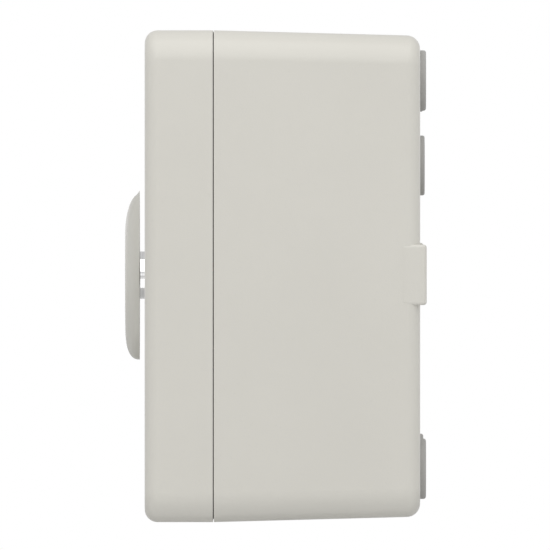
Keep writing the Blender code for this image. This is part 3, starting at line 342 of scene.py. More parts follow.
bodyPlastic = mouldedPlastic("bodyPlastic", (0.668, 0.653, 0.602), 0.29, roughSpread=0.015)
handlePlastic = mouldedPlastic("handlePlastic", (0.650, 0.640, 0.595), 0.22, roughSpread=0.015)
padRubber = mouldedPlastic("padRubber", (0.42, 0.415, 0.40), 0.50, grainScale=0.5, bump=0.6, speckle=0.4)
sealRubber = mouldedPlastic("sealRubber", (0.24, 0.225, 0.205), 0.72, grainScale=0.6, bump=0.5)
blackPlastic = mouldedPlastic("blackPlastic", (0.032, 0.032, 0.034), 0.46, speckle=0.5)
lidPlastic = mouldedPlastic("lidPlastic", (0.20, 0.205, 0.21), 0.40)
whiteNylon = mouldedPlastic("whiteNylon", (0.74, 0.73, 0.68), 0.44, speckle=0.1)
chipEpoxy = mouldedPlastic("chipEpoxy", (0.024, 0.024, 0.026), 0.58, grainScale=2.0)
chipCeramic = mouldedPlastic("chipCeramic", (0.30, 0.22, 0.13), 0.50, grainScale=2.0)
ceramicTube = mouldedPlastic("ceramicTube", (0.78, 0.76, 0.70), 0.28, speckle=0.4)
ferriteBody = mouldedPlastic("ferriteBody", (0.045, 0.045, 0.048), 0.62, speckle=0.6, bump=0.7)
capSleeve = mouldedPlastic("capSleeve", (0.030, 0.050, 0.110), 0.26, bump=0.1)
cellWrap = mouldedPlastic(
    "cellWrap", (0.035, 0.150, 0.360), 0.30, grainScale=0.25, bump=0.25, bumpDepth=0.0002, roughSpread=0.08)
redSheath = mouldedPlastic("redSheath", (0.460, 0.030, 0.025), 0.42, speckle=0.1)
blackSheath = mouldedPlastic("blackSheath", (0.026, 0.026, 0.027), 0.45, speckle=0.1)
zincSteel = metal("zincSteel", (0.63, 0.63, 0.60), 0.36, stain=0.35, stainScale=80.0)
chromeRing = metal("chromeRing", (0.93, 0.93, 0.93), 0.035, roughSpread=0.01, stain=0.03, bump=0.0)
brassMetal = metal("brassMetal", (0.72, 0.55, 0.27), 0.30)
sheetMetal = metal("sheetMetal", (0.74, 0.75, 0.76), 0.34, stretch=(0.06, 1.0, 1.0), stain=0.12)
blackAnodised = metal("blackAnodised", (0.055, 0.056, 0.060), 0.42, metallic=0.6, stretch=(0.05, 1.0, 1.0))
copperMetal = metal("copperMetal", (0.82, 0.46, 0.30), 0.30, stain=0.45, stainScale=120.0)
tinnedMetal = metal("tinnedMetal", (0.72, 0.72, 0.70), 0.28, stain=0.10)
enamelledWire = metal("enamelledWire", (0.56, 0.20, 0.07), 0.24, metallic=0.85, stain=0.2)
boardMask = solderMask("boardMask")
print("materials ready")


# shared mesh steps

def cornersOf(name):
    low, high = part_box(name)
    return Vector(low), Vector(high)


def middleOf(low, high):
    return [(l + h) / 2 for l, h in zip(low, high)]


def fourPlaces(x, zLow, zHigh):
    return [(sx * x, z) for sx in (-1, 1) for z in (zLow, zHigh)]


def edgesOf(verts):
    return {e for v in verts for e in v.link_edges}


def edgesAlong(edges, axis, least):
    # those that run further than this along one axis
    k = "XYZ".index(axis)
    return [e for e in edges if abs(e.verts[0].co[k] - e.verts[1].co[k]) > least]


def arcPoints(centre, radius, start, steps):
    # a quarter circle of (radius, along) points, both ends included
    out, along = centre
    turns = [start + math.pi / 2 * k / steps for k in range(steps + 1)]
    return [(out + radius * math.cos(turn), along + radius * math.sin(turn)) for turn in turns]


def boxInto(bm, low, high):
    size = [h - l for l, h in zip(low, high)]
    place = Matrix.Translation(middleOf(low, high)) @ Matrix.Diagonal((*size, 1.0))
    return bmesh.ops.create_cube(bm, size=1.0, matrix=place)["verts"]


def bevelEdges(bm, edges, width, steps):
    return bmesh.ops.bevel(
        bm, geom=list(edges), offset=width, segments=steps, affect="EDGES", profile=0.5, material=-1,
        clamp_overlap=True)


def spinInto(bm, profile, axis="Y", at=(0.0, 0.0, 0.0), steps=48):
    # spins (radius, along) points about an axis; a profile that starts on the axis closes there
    along = axes[axis]
    out = Vector((0, 0, 1)) if axis != "Z" else Vector((1, 0, 0))
    centre = Vector(at)
    ring = [bm.verts.new(centre + out * r + along * a) for r, a in profile]
    edges = [bm.edges.new(pair) for pair in zip(ring, ring[1:])]
    if profile[0][0] > 0:
        edges.append(bm.edges.new((ring[-1], ring[0])))
    bmesh.ops.spin(bm, geom=ring + edges, cent=centre, axis=along, angle=tau, steps=steps, use_merge=True)
    bmesh.ops.remove_doubles(bm, verts=bm.verts, dist=2e-6)


def easedBox(bm, low, high, ease, steps):
    bevelEdges(bm, edgesOf(boxInto(bm, low, high)), ease, steps)


def slotInto(bm, low, high):
    # a round-ended slot through along Y
    edges = edgesAlong(edgesOf(boxInto(bm, low, high)), "Y", 1e-4)
    bevelEdges(bm, edges, (high[2] - low[2]) / 2 - 1e-5, 6)


def extrudeInto(bm, outline, vec):
    face = bm.faces.new([bm.verts.new(p) for p in outline])
    grown = bmesh.ops.extrude_face_region(bm, geom=[face])["geom"]
    bmesh.ops.translate(bm, verts=[g for g in grown if isinstance(g, bmesh.types.BMVert)], vec=vec)


def cylinderInto(bm, axis, at, radius, low, high, steps, turn=0.0):
    aim = {"X": ((0, 1, 0), math.pi / 2), "Y": ((1, 0, 0), -math.pi / 2), "Z": ((1, 0, 0), 0.0)}[axis]
    place = (
        Matrix.Translation(Vector(at) + axes[axis] * (low + high) / 2)
        @ Matrix.Rotation(aim[1], 4, Vector(aim[0]))
        @ Matrix.Rotation(turn, 4, "Z")
    )
    bmesh.ops.create_cone(
        bm, cap_ends=True, segments=steps, radius1=radius, radius2=radius, depth=high - low, matrix=place)


def rodsInto(bm, places, radius, yLow, yHigh, steps=32):
    for x, z in places:
        spinInto(bm, [(0.0, yLow), (radius, yLow), (radius, yHigh), (0.0, yHigh)], "Y", (x, 0.0, z), steps)


def rods(places, radius, yLow, yHigh, steps=32):
    bm = bmesh.new()
    rodsInto(bm, places, radius, yLow, yHigh, steps)
    return bm


def ringInto(bm, place, inner, outer, low, high, steps):
    x, z = place
    spinInto(bm, [(inner, low), (outer, low), (outer, high), (inner, high)], "Y", (x, 0.0, z), steps)


def screwHeadInto(bm, seat, radius, tall):
    # domed head standing towards -Y on a seat, with a round drive recess
    x, y, z = seat
    profile = [(0.0, y - tall * 0.35), (radius * 0.38, y - tall * 0.35), (radius * 0.42, y - tall)]
    for k in range(1, 5):
        turn = math.pi / 2 * k / 4
        profile.append((
            radius * (0.55 + 0.45 * math.sin(turn)), y - tall * (0.35 + 0.65 * math.cos(turn))))
    profile += [(radius, y), (0.0, y)]
    spinInto(bm, profile, "Y", (x, 0.0, z), 20)


def tubeInto(bm, path, radius, sides, closed=False):
    # a round tube along a path, its rings carried round without twist
    count = len(path)
    rings = []
    side = None
    for k, point in enumerate(path):
        if closed:
            way = path[(k + 1) % count] - path[k - 1]
        else:
            way = path[min(k + 1, count - 1)] - path[max(k - 1, 0)]
        way.normalize()
        if side is None:
            side = way.orthogonal().normalized()
        side = (side - way * side.dot(way)).normalized()
        up = way.cross(side)
        turns = [tau * j / sides for j in range(sides)]
        rings.append([bm.verts.new(point + radius * (side * math.cos(a) + up * math.sin(a))) for a in turns])
    pairs = list(zip(rings, rings[1:] + (rings[:1] if closed else [])))
    for a, b in pairs if closed else pairs[:len(rings) - 1]:
        for j in range(sides):
            n = (j + 1) % sides
            bm.faces.new((a[j], a[n], b[n], b[j]))
    if not closed:
        bm.faces.new(rings[0])
        bm.faces.new(rings[-1])


def easedRod(radius, low, high, ease, steps=4):
    lower = arcPoints((radius - ease, low + ease), ease, -math.pi / 2, steps)
    upper = arcPoints((radius - ease, high - ease), ease, 0.0, steps)
    return [(0.0, low), *lower, *upper, (0.0, high)]


def newObject(name, bm, recalc=True):
    if recalc:
        bmesh.ops.recalc_face_normals(bm, faces=bm.faces)
    mesh = bpy.data.meshes.new(name)
    bm.to_mesh(mesh)
    bm.free()
    made = bpy.data.objects.new(name, mesh)
    bpy.context.scene.collection.objects.link(made)
    return made


def carve(made, bm, operation="DIFFERENCE"):
    # cuts or adds a shape, and keeps only the result
    tool = newObject(made.name + "Tool", bm)
    change = made.modifiers.new("carve", "BOOLEAN")
    change.operation = operation
    change.solver = "EXACT"
    change.object = tool
    settle(made)
    bpy.data.objects.remove(tool, do_unlink=True)


def settle(made):
    bpy.context.view_layer.update()
    graph = bpy.context.evaluated_depsgraph_get()
    result = bpy.data.meshes.new_from_object(made.evaluated_get(graph))
    made.modifiers.clear()
    made.data = result


def dress(made, material, body, replaces=(), angle=32.0, weighted=False):
    # material, smooth shading, and where the piece belongs
    made.data.materials.clear()
    made.data.materials.append(material)
    made.data.shade_smooth()
    made.data.set_sharp_from_angle(angle=math.radians(angle))
    if weighted:
        even = made.modifiers.new("evenNormals", "WEIGHTED_NORMAL")
        even.mode = "FACE_AREA"
        even.weight = 80
        even.keep_sharp = True
    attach(made, body)
    if replaces:
        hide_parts(*replaces)
    return made


# the two shells

housingLow, housingHigh = cornersOf("rear_housing")
coverLow, coverHigh = cornersOf("front_cover")

shell = {
    "halfWidth": coverHigh.x,
    "halfHeight": coverHigh.z,
    "frontY": coverLow.y,
    "coverRimY": coverHigh.y,
    "housingRimY": housingLow.y - 0.0003,
    "corner": 0.020,
    "frontEdge": 0.0085,
    "backEdge": 0.009,
    "draft": math.radians(1.4),
    "wall": 0.003,
    "flange": 0.0065,
    "flangeDepth": 0.006,
    "screwX": 0.176,
    "screwZ": 0.1435,
    "cornerSteps": 16,
    "edgeSteps": 8,
}


def shellBlock(halfX, halfZ, yOpen, yClosed, corner, edge, draft):
    bm = bmesh.new()
    boxInto(bm, (-halfX, min(yOpen, yClosed), -halfZ), (halfX, max(yOpen, yClosed), halfZ))
    deep = abs(yOpen - yClosed)
    bevelEdges(bm, edgesAlong(bm.edges, "Y", deep / 2), corner, shell["cornerSteps"])
    inward = deep * math.tan(draft)
    for v in bm.verts:
        if abs(v.co.y - yClosed) < 1e-6:
            v.co.x *= (halfX - inward) / halfX
            v.co.z *= (halfZ - inward) / halfZ
    if edge:
        rim = [e for e in bm.edges if all(abs(v.co.y - yClosed) < 1e-6 for v in e.verts)]
        bevelEdges(bm, rim, edge, shell["edgeSteps"])
    return bm


def insetBlock(inset, yOpen, yClosed, edge=0.0, draft=0.0):
    # a block set in from the outside on every side
    return shellBlock(
        shell["halfWidth"] - inset, shell["halfHeight"] - inset, yOpen, yClosed,
        shell["corner"] - inset, edge, draft)


def hollowShell(made, yRim, yEnd, edge, draft):
    away = math.copysign(shell["flangeDepth"], yEnd - yRim)
    wall = shell["wall"]
    flange = shell["flange"]
    carve(made, insetBlock(wall, yRim + away, yEnd, edge - wall, draft))
    carve(made, insetBlock(flange, yRim - away, yRim + away * 1.1))


screwPlaces = fourPlaces(shell["screwX"], -shell["screwZ"], shell["screwZ"])
padPlaces = fourPlaces(0.150, -0.1275, 0.1294)
restPlaces = fourPlaces(0.100, -0.030, 0.140)  # where the chassis plate is screwed down
entryPlace = (0.0, 0.0732)
ventPlace = (-0.060, -0.046)


def addLug(made, side):
    lug = {
        "topZ": 0.021, "bottomZ": -0.019, "frontY": -0.0110, "backY": housingHigh.y,
        "outerX": 0.19195, "thick": 0.010, "ease": 0.0021, "fall": 0.0009,
    }
    bm = bmesh.new()
    lean = math.tan(shell["draft"])
    outline = [
        (lug["outerX"] - lug["thick"], lug["frontY"]),
        (lug["outerX"], lug["frontY"]),
        (lug["outerX"] + lug["frontY"] * lean, 0.0),
        (lug["outerX"] + lug["frontY"] * lean - lug["fall"], lug["backY"]),
        (lug["outerX"] - lug["thick"], lug["backY"]),
    ]
    corners = [(side * x, y, lug["bottomZ"]) for x, y in outline]
    extrudeInto(bm, corners, (0.0, 0.0, lug["topZ"] - lug["bottomZ"]))
    inside = lug["outerX"] - lug["thick"] / 2
    outer = [
        e for e in bm.edges
        if not all(abs(v.co.y - lug["frontY"]) < 1e-6 for v in e.verts)
        and not all(abs(v.co.x) < inside for v in e.verts)
        and not (abs(e.verts[0].co.z - e.verts[1].co.z) > 0.01 and abs(e.verts[0].co.y) < 1e-6)
    ]
    bevelEdges(bm, outer, lug["ease"], 5)
    carve(made, bm, "UNION")


def cutRimGroove(made):
    groove = {"outer": 0.0019, "inner": 0.0047, "depth": 0.002, "past": 0.003}
    rim = shell["housingRimY"]
    ring = newObject("grooveRing", insetBlock(groove["outer"], rim + groove["depth"], rim - groove["past"]))
    carve(ring, insetBlock(groove["inner"], rim + groove["depth"] + 0.002, rim - groove["past"] - 0.002))
    bm = bmesh.new()
    bm.from_mesh(ring.data)
    bpy.data.objects.remove(ring, do_unlink=True)
    carve(made, bm)


def cutBackWall(made, bossPlaces, pilot):
    # shallow seats for the pads, bung and vent, then the holes inside them
    seat = {"radius": 0.0204, "depth": 0.001, "ventRadius": 0.0073, "ventDepth": 0.0015}
    hole = {"stem": 0.0043, "entry": 0.012, "vent": 0.0048, "endY": -0.006, "pilotEndY": -0.008}
    outside = 0.003
    bm = rods(padPlaces + [entryPlace], seat["radius"], -seat["depth"], outside, 64)
    rodsInto(bm, [ventPlace], seat["ventRadius"], -seat["ventDepth"], outside, 32)
    carve(made, bm)
    bm = rods(padPlaces, hole["stem"], hole["endY"], outside, 24)
    rodsInto(bm, [entryPlace], hole["entry"], hole["endY"], outside, 48)
    rodsInto(bm, [ventPlace], hole["vent"], hole["endY"], outside, 24)
    rodsInto(bm, bossPlaces, pilot, hole["pilotEndY"], outside, 24)
    carve(made, bm)


def makeRearShell():
    rim = shell["housingRimY"]
    made = newObject("rearShell", insetBlock(0.0, rim, 0.0, shell["backEdge"], shell["draft"]))
    hollowShell(made, rim, -shell["wall"], shell["backEdge"], shell["draft"])
    for side in (-1, 1):
        addLug(made, side)
    thin = shell["wall"] / 2
    post = {"radius": 0.007, "hole": 0.0027, "holeEndY": -0.118}
    carve(made, rods(screwPlaces, post["radius"], rim, -thin), "UNION")
    boss = {"x": 0.120, "lowZ": -0.055, "highZ": 0.100, "radius": 0.006, "endY": -0.0092, "pilot": 0.0021}
    bossPlaces = fourPlaces(boss["x"], boss["lowZ"], boss["highZ"])
    carve(made, rods(bossPlaces, boss["radius"], boss["endY"], -thin), "UNION")
    rest = {"radius": 0.006, "endY": -0.0117}
    carve(made, rods(restPlaces, rest["radius"], rest["endY"], -thin), "UNION")
    cutRimGroove(made)
    carve(made, rods(screwPlaces, post["hole"], rim - 0.003, post["holeEndY"], 24))
    cutBackWall(made, bossPlaces, boss["pilot"])
    return dress(made, bodyPlastic, "root", ["rear_housing"], weighted=True)


def makeFrontShell():
    front, rim = shell["frontY"], shell["coverRimY"]
    sleeve = {"radius": 0.00775, "counterbore": 0.0062, "depth": 0.022, "hole": 0.0028}
    opening = {"radius": 0.0098, "depth": 0.006}
    outside = 0.003
    made = newObject("frontShell", insetBlock(0.0, rim, front, shell["frontEdge"]))
    hollowShell(made, rim, front + shell["wall"], shell["frontEdge"], 0.0)
    carve(made, rods(screwPlaces, sleeve["radius"], front + shell["wall"] / 2, rim, 40), "UNION")
    carve(made, rods(screwPlaces, sleeve["counterbore"], front - outside, front + sleeve["depth"], 40))
    bm = rods(screwPlaces, sleeve["hole"], front - outside, rim + outside, 24)
    rodsInto(bm, [(0.0, 0.0)], opening["radius"], front - outside, front + opening["depth"], 48)
    carve(made, bm)
    return dress(made, bodyPlastic, "cover", ["front_cover"], weighted=True)


makeRearShell()
makeFrontShell()
print("shells made")


# handle, collar and what holds them

def makeHandle():
    low, high = cornersOf("isolator_handle")
    form = {
        "halfWidth": high.x, "backY": cornersOf("handle_collar")[0].y - gap, "frontY": low.y,
        "lowZ": low.z, "highZ": high.z, "middleZ": -0.0064,
        "topEase": 0.0264, "topChamfer": 0.0021, "bottomEase": 0.0238, "sideEase": 0.0110,
        "blunt": 2.6, "rings": 22, "points": 96,
    }
    deep = form["backY"] - form["frontY"]
    bm = bmesh.new()
    loops = []
    for k in range(form["rings"] + 1):
        turn = math.pi / 2 * k / form["rings"]
        t = math.sin(turn)
        round_ = 1.0 - math.cos(turn)
        blunt = 1.0 - (1.0 - min(1.0, t ** form["blunt"])) ** (1.0 / form["blunt"])
        top = form["highZ"] - form["topEase"] * round_ - form["topChamfer"] * min(1.0, t / 0.2)
        bottom = form["lowZ"] + form["bottomEase"] * blunt
        half = form["halfWidth"] - form["sideEase"] * round_
        ring = bmesh.ops.create_circle(bm, segments=form["points"], radius=1.0)["verts"]
        middle = form["middleZ"]
        for v in ring:
            x, z = v.co.x, v.co.y
            reach = (top - middle) if z > 0 else (middle - bottom)
            v.co = Vector((x * half, form["backY"] - deep * t, middle + z * reach))
        loops.append(ring)
    for a, b in zip(loops, loops[1:]):
        edgesA = [e for v in a for e in v.link_edges if e.other_vert(v) in a]
        edgesB = [e for v in b for e in v.link_edges if e.other_vert(v) in b]
        bmesh.ops.bridge_loops(bm, edges=list(set(edgesA + edgesB)))
    bmesh.ops.contextual_create(bm, geom=loops[0])
    bmesh.ops.contextual_create(bm, geom=loops[-1])
    made = newObject("handlePaddle", bm)
    addStem(made)
    return dress(made, handlePlastic, "handle", ["isolator_handle"], angle=40.0)


def addStem(made):
    # a round stem with a groove for the clip and a square socket for the shaft
    stem = {
        "radius": 0.0060, "startY": -0.1880, "endY": -0.1700, "ease": 0.0004,
        "groove": 0.0050, "grooveStartY": -0.1732, "grooveEndY": -0.1718,
        "socket": 0.0032, "socketStartY": -0.1815, "socketEndY": -0.1650,
    }
    radius, groove, end = stem["radius"], stem["groove"], stem["endY"]
    bm = bmesh.new()
    spinInto(bm, [
        (0.0, stem["startY"]), (radius, stem["startY"]), (radius, stem["grooveStartY"]),
        (groove, stem["grooveStartY"]), (groove, stem["grooveEndY"]), (radius, stem["grooveEndY"]),
        (radius, end - stem["ease"]), (radius - stem["ease"], end), (0.0, end)], "Y", (0, 0, 0), 40)
    carve(made, bm, "UNION")
    bm = bmesh.new()
    socket = stem["socket"]
    boxInto(bm, (-socket, stem["socketStartY"], -socket), (socket, stem["socketEndY"], socket))
    carve(made, bm)


def makeCollar():
    low, high = cornersOf("handle_collar")
    form = {
        "radius": high.x, "ease": 0.00015, "line": 0.0017, "lineDepth": 0.00025, "bore": 0.0063,
        "neck": 0.0095, "neckEase": 0.0002, "neckEndY": -0.1745, "sealBore": 0.0082, "sealSeatY": -0.1772,
    }
    line = low.y + form["line"]
    profile = [
        (form["bore"], low.y),
        (form["radius"] - form["ease"], low.y),
        (form["radius"], low.y + form["ease"]),
        (form["radius"], line),
        (form["radius"] - form["lineDepth"], line + 0.00005),
        (form["radius"] - form["lineDepth"], line + 0.00020),
        (form["radius"], line + 0.00025),
        (form["radius"], shell["frontY"] - gap),
        (form["neck"], shell["frontY"] - gap),
        (form["neck"], form["neckEndY"] - form["neckEase"]),
        (form["neck"] - form["neckEase"], form["neckEndY"]),
        (form["sealBore"], form["neckEndY"]),
        (form["sealBore"], form["sealSeatY"]),
        (form["bore"], form["sealSeatY"]),
    ]
    bm = bmesh.new()
    spinInto(bm, profile, "Y", (0, 0, 0), 128)
    made = newObject("collarRing", bm)
    return dress(made, chromeRing, "cover", ["handle_collar"])


makeHandle()
makeCollar()
print("handle and collar made")


# wall side: pads, entry bung, gasket

def makePads():
    form = {
        "radius": 0.020, "seatY": -0.0007, "backY": cornersOf("wall_pad_1")[1].y, "ease": 0.0016,
        "lip": 0.0003, "stem": 0.004, "stemEndY": -0.0052, "chamfer": 0.0006,
    }
    radius, ease, stem, end = form["radius"], form["ease"], form["stem"], form["stemEndY"]
    profile = [
        (0.0, end), (stem - form["chamfer"], end), (stem, end + form["chamfer"]), (stem, form["seatY"]),
        (radius - form["lip"], form["seatY"]), (radius, form["seatY"] + form["lip"]),
        *arcPoints((radius - ease, form["backY"] - ease), ease, 0.0, 6),
        (0.0, form["backY"]),
    ]
    for number, (x, z) in enumerate(padPlaces, 1):
        bm = bmesh.new()
        spinInto(bm, profile, "Y", (x, 0.0, z), 72)
        made = newObject(f"wallPad{number}", bm)
        dress(made, padRubber, "root", [f"wall_pad_{number}"])


def makeBung():
    form = {
        "radius": 0.020, "seatY": -0.0007, "backY": cornersOf("rear_entry_bung")[1].y, "ease": 0.0014,
        "stem": 0.0115, "stemEndY": -0.008, "chamfer": 0.0008, "chamferTall": 0.0012,
        "steps": (0.0130, 0.0100, 0.0070), "stepWide": 0.0006, "stepDeep": 0.0007,
    }
    radius, ease, stem, end = form["radius"], form["ease"], form["stem"], form["stemEndY"]
    profile = [
        (0.0, end), (stem - form["chamfer"], end), (stem, end + form["chamferTall"]), (stem, form["seatY"]),
        (radius, form["seatY"]),
        *arcPoints((radius - ease, form["backY"] - ease), ease, 0.0, 6),
    ]
    # stepped membrane, to be cut to the cable's size
    for step in form["steps"]:
        y = profile[-1][1]
        profile += [(step + form["stepWide"], y), (step, y - form["stepDeep"])]
    profile += [(0.0, profile[-1][1])]
    bm = bmesh.new()
    spinInto(bm, profile, "Y", (entryPlace[0], 0.0, entryPlace[1]), 72)
    made = newObject("entryBung", bm)
    return dress(made, padRubber, "root", ["rear_entry_bung"])


def makeGasket():
    form = {
        "outer": 0.0022, "inner": 0.0044, "lowY": -0.1367, "highY": -0.1343, "ease": 0.0004, "past": 0.002,
    }
    ring = newObject("rimGasket", insetBlock(form["outer"], form["highY"], form["lowY"], form["ease"]))
    carve(ring, insetBlock(form["inner"], form["highY"] + form["past"], form["lowY"] - form["past"]))
    return dress(ring, sealRubber, "root", ["cover_gasket"])


makePads()
makeBung()
makeGasket()
print("pads, bung and gasket made")


# switch, shaft and bracket

def makeIsolator():
    low, high = cornersOf("isolator_body")
    form = {
        "ease": 0.0016, "seam": 0.0004, "seamWide": 0.0006, "seams": (0.0130, 0.0270),
        "slotX": 0.014, "slotHalf": 0.0045, "slotDeep": 0.010, "slotNear": 0.0216, "slotFar": 0.033,
        "mouth": 0.0096, "well": 0.0088, "wellDeep": 0.0246,
    }
    past = 0.002
    front = low.y - past
    bm = bmesh.new()
    easedBox(bm, low, high, form["ease"], 3)
    made = newObject("isolatorCase", bm)
    bm = bmesh.new()
    spinInto(bm, [
        (0.0, front), (form["mouth"], front), (form["mouth"], low.y + 0.0002), (form["well"], low.y + 0.0012),
        (form["well"], low.y + form["wellDeep"]), (0.0, low.y + form["wellDeep"])], "Y", (0, 0, 0), 48)
    for step in (-1, 0, 1):
        for side in (-1, 1):
            near, far = sorted((side * form["slotNear"], side * form["slotFar"]))
            x = step * form["slotX"]
            boxInto(bm, (x - form["slotHalf"], low.y - 0.003, near),
                    (x + form["slotHalf"], low.y + form["slotDeep"], far))
    # seams between the stacked decks
    for side in (-1, 1):
        nearX, farX = sorted((side * (high.x - form["seam"]), side * (high.x + past)))
        nearZ, farZ = sorted((side * (high.z - form["seam"]), side * (high.z + past)))
        for seam in form["seams"]:
            y, yEnd = low.y + seam, low.y + seam + form["seamWide"]
            boxInto(bm, (nearX, y, low.z - past), (farX, yEnd, high.z + past))
            boxInto(bm, (low.x + 0.001, y, nearZ), (high.x - 0.001, yEnd, farZ))
    carve(made, bm)
    dress(made, blackPlastic, "root", ["isolator_body"])
    # clamp screws seen through the slots
    bm = bmesh.new()
    for step in (-1, 0, 1):
        for side in (-1, 1):
            screwHeadInto(bm, (step * form["slotX"], low.y + 0.0068, side * 0.0257), 0.0034, 0.0030)
    made = newObject("isolatorClampScrews", bm)
    dress(made, brassMetal, "root")
    makeRotor()


def makeRotor():
    low, high = cornersOf("isolator_rotor")
    form = {
        "radius": high.x, "ease": 0.0006, "socket": 0.0032, "socketEndY": -0.1447,
        "arrow": 0.0012, "arrowDeep": 0.0008, "arrowStart": 0.0055, "arrowEnd": 0.0100,
    }
    socket, half, front = form["socket"], form["arrow"] / 2, low.y - 0.002
    bm = bmesh.new()
    spinInto(bm, easedRod(form["radius"], low.y, high.y, form["ease"]), "Y", (0, 0, 0), 56)
    made = newObject("isolatorRotor", bm)
    bm = bmesh.new()
    boxInto(bm, (-socket, front, -socket), (socket, form["socketEndY"], socket))
    # pointer notch on the rotor's face
    boxInto(bm, (-half, front, form["arrowStart"]), (half, low.y + form["arrowDeep"], form["arrowEnd"]))
    carve(made, bm)
    return dress(made, whiteNylon, "shaft", ["isolator_rotor"])


def makeShaft():
    low, high = cornersOf("isolator_shaft")
    form = {"ease": 0.0007, "mark": 0.0011, "markDeep": 0.0010}
    bm = bmesh.new()
    easedBox(bm, low, high, form["ease"], 2)
    made = newObject("isolatorShaft", bm)
    bm = bmesh.new()
    # centre mark in the end
    front = low.y - 0.0005
    spinInto(bm, [(0.0, front), (form["mark"], front), (0.0, low.y + form["markDeep"])], "Y", (0, 0, 0), 16)
    carve(made, bm)
    return dress(made, zincSteel, "shaft", ["isolator_shaft"])


def makeBracket():
    low, high = cornersOf("isolator_bracket")
    form = {
        "wide": 0.032, "sheet": 0.002, "foot": high.x, "bend": 0.0030,
        "hole": 0.0022, "holeX": 0.0382, "holeZ": 0.011,
        "window": 0.0095, "windows": (-0.086, -0.054),
    }
    holes = fourPlaces(form["holeX"], -form["holeZ"], form["holeZ"])
    wide, sheet, foot, top, base = form["wide"], form["sheet"], form["foot"], low.y, high.y
    outline = [
        (-foot, base), (-foot, base - sheet), (-wide, base - sheet), (-wide, top), (wide, top),
        (wide, base - sheet), (foot, base - sheet), (foot, base), (wide - sheet, base),
        (wide - sheet, top + sheet), (-wide + sheet, top + sheet), (-wide + sheet, base),
    ]
    bm = bmesh.new()
    extrudeInto(bm, [(x, y, low.z) for x, y in outline], (0.0, 0.0, high.z - low.z))
    folds = [
        e for e in edgesAlong(bm.edges, "Z", 0.01)
        if abs(abs(e.verts[0].co.x) - foot) > 1e-4
        and min(abs(e.verts[0].co.y - base + sheet), abs(e.verts[0].co.y - top)) < 1e-5
    ]
    bevelEdges(bm, folds, form["bend"], 5)
    made = newObject("isolatorBracket", bm)
    bm = rods(holes, form["hole"], -0.018, -0.012, 20)
    # lightening windows through the two upright webs
    for y in form["windows"]:
        cylinderInto(bm, "X", (0.0, y, 0.0), form["window"], -0.050, 0.050, 32)
    carve(made, bm)
    dress(made, zincSteel, "root", ["isolator_bracket"])
    bm = bmesh.new()
    for x, z in holes:
        screwHeadInto(bm, (x, base - sheet - 0.0001, z), 0.0040, 0.0024)
    made = newObject("bracketScrews", bm)
    return dress(made, zincSteel, "root")


makeIsolator()
makeShaft()
makeBracket()
print("isolator made")


# the cells and what clamps them

def makeCells():
    form = {
        "ease": 0.0022, "fold": 0.0004,
        "post": 0.0078, "postY": 0.052, "postTall": 0.004, "postEase": 0.0005,
    }
    for number in range(1, 9):
        low, high = cornersOf(f"cell_{number}")
        top = high.z - form["postTall"]
        x, y = middleOf(low, high)[:2]
        bm = bmesh.new()
        easedBox(bm, low, (high.x, high.y, top), form["ease"], 4)
        made = newObject(f"cell{number}", bm)
        bm = bmesh.new()
        # folded end of the wrap, pressed flat down the front
        boxInto(bm, (x - form["fold"], low.y - 0.001, low.z + 0.004),
                (x + form["fold"], low.y + 0.0002, top - 0.004))
        carve(made, bm)
        dress(made, cellWrap, "root", [f"cell_{number}"])
        bm = bmesh.new()
        for side in (-1, 1):
            spinInto(bm, [
                (0.0, top - 0.0010), (form["post"], top - 0.0010), (form["post"], high.z - form["postEase"]),
                (form["post"] - form["postEase"], high.z), (0.0, high.z)],
                "Z", (x, y + side * form["postY"], 0.0), 40)
        made = newObject(f"cellPosts{number}", bm)
        dress(made, sheetMetal, "root")


def makeBusbars():
    form = {
        "flat": 0.0062, "hump": 0.0019, "thick": 0.0014, "steps": 8,
        "spot": 0.0030, "spotX": 0.0198, "spotHalf": 0.0004,
    }
    for number in range(1, 8):
        low, high = cornersOf(f"busbar_{number}")
        x, y = middleOf(low, high)[:2]
        half = (high.x - low.x) / 2
        under = [(-half, 0.0), (-form["flat"], 0.0)]
        for k in range(1, form["steps"]):
            turn = math.pi * k / form["steps"]
            under.append((-form["flat"] * math.cos(turn), form["hump"] * math.sin(turn) ** 2))
        under += [(form["flat"], 0.0), (half, 0.0)]
        over = [(px, pz + form["thick"]) for px, pz in reversed(under)]
        bm = bmesh.new()
        extrudeInto(bm, [(x + px, low.y, low.z + pz) for px, pz in under + over], (0.0, high.y - low.y, 0.0))
        made = newObject(f"busbar{number}", bm)
        bm = bmesh.new()
        # rings left by the laser weld
        inner, outer = form["spot"] - form["spotHalf"], form["spot"] + form["spotHalf"]
        roof = low.z + form["thick"]
        for side in (-1, 1):
            spinInto(bm, [
                (outer, roof - 0.0004), (outer, roof + 0.001), (inner, roof + 0.001), (inner, roof - 0.0004)],
                "Z", (x + side * form["spotX"], y, 0.0), 24)
        carve(made, bm)
        dress(made, copperMetal, "root", [f"busbar_{number}"])


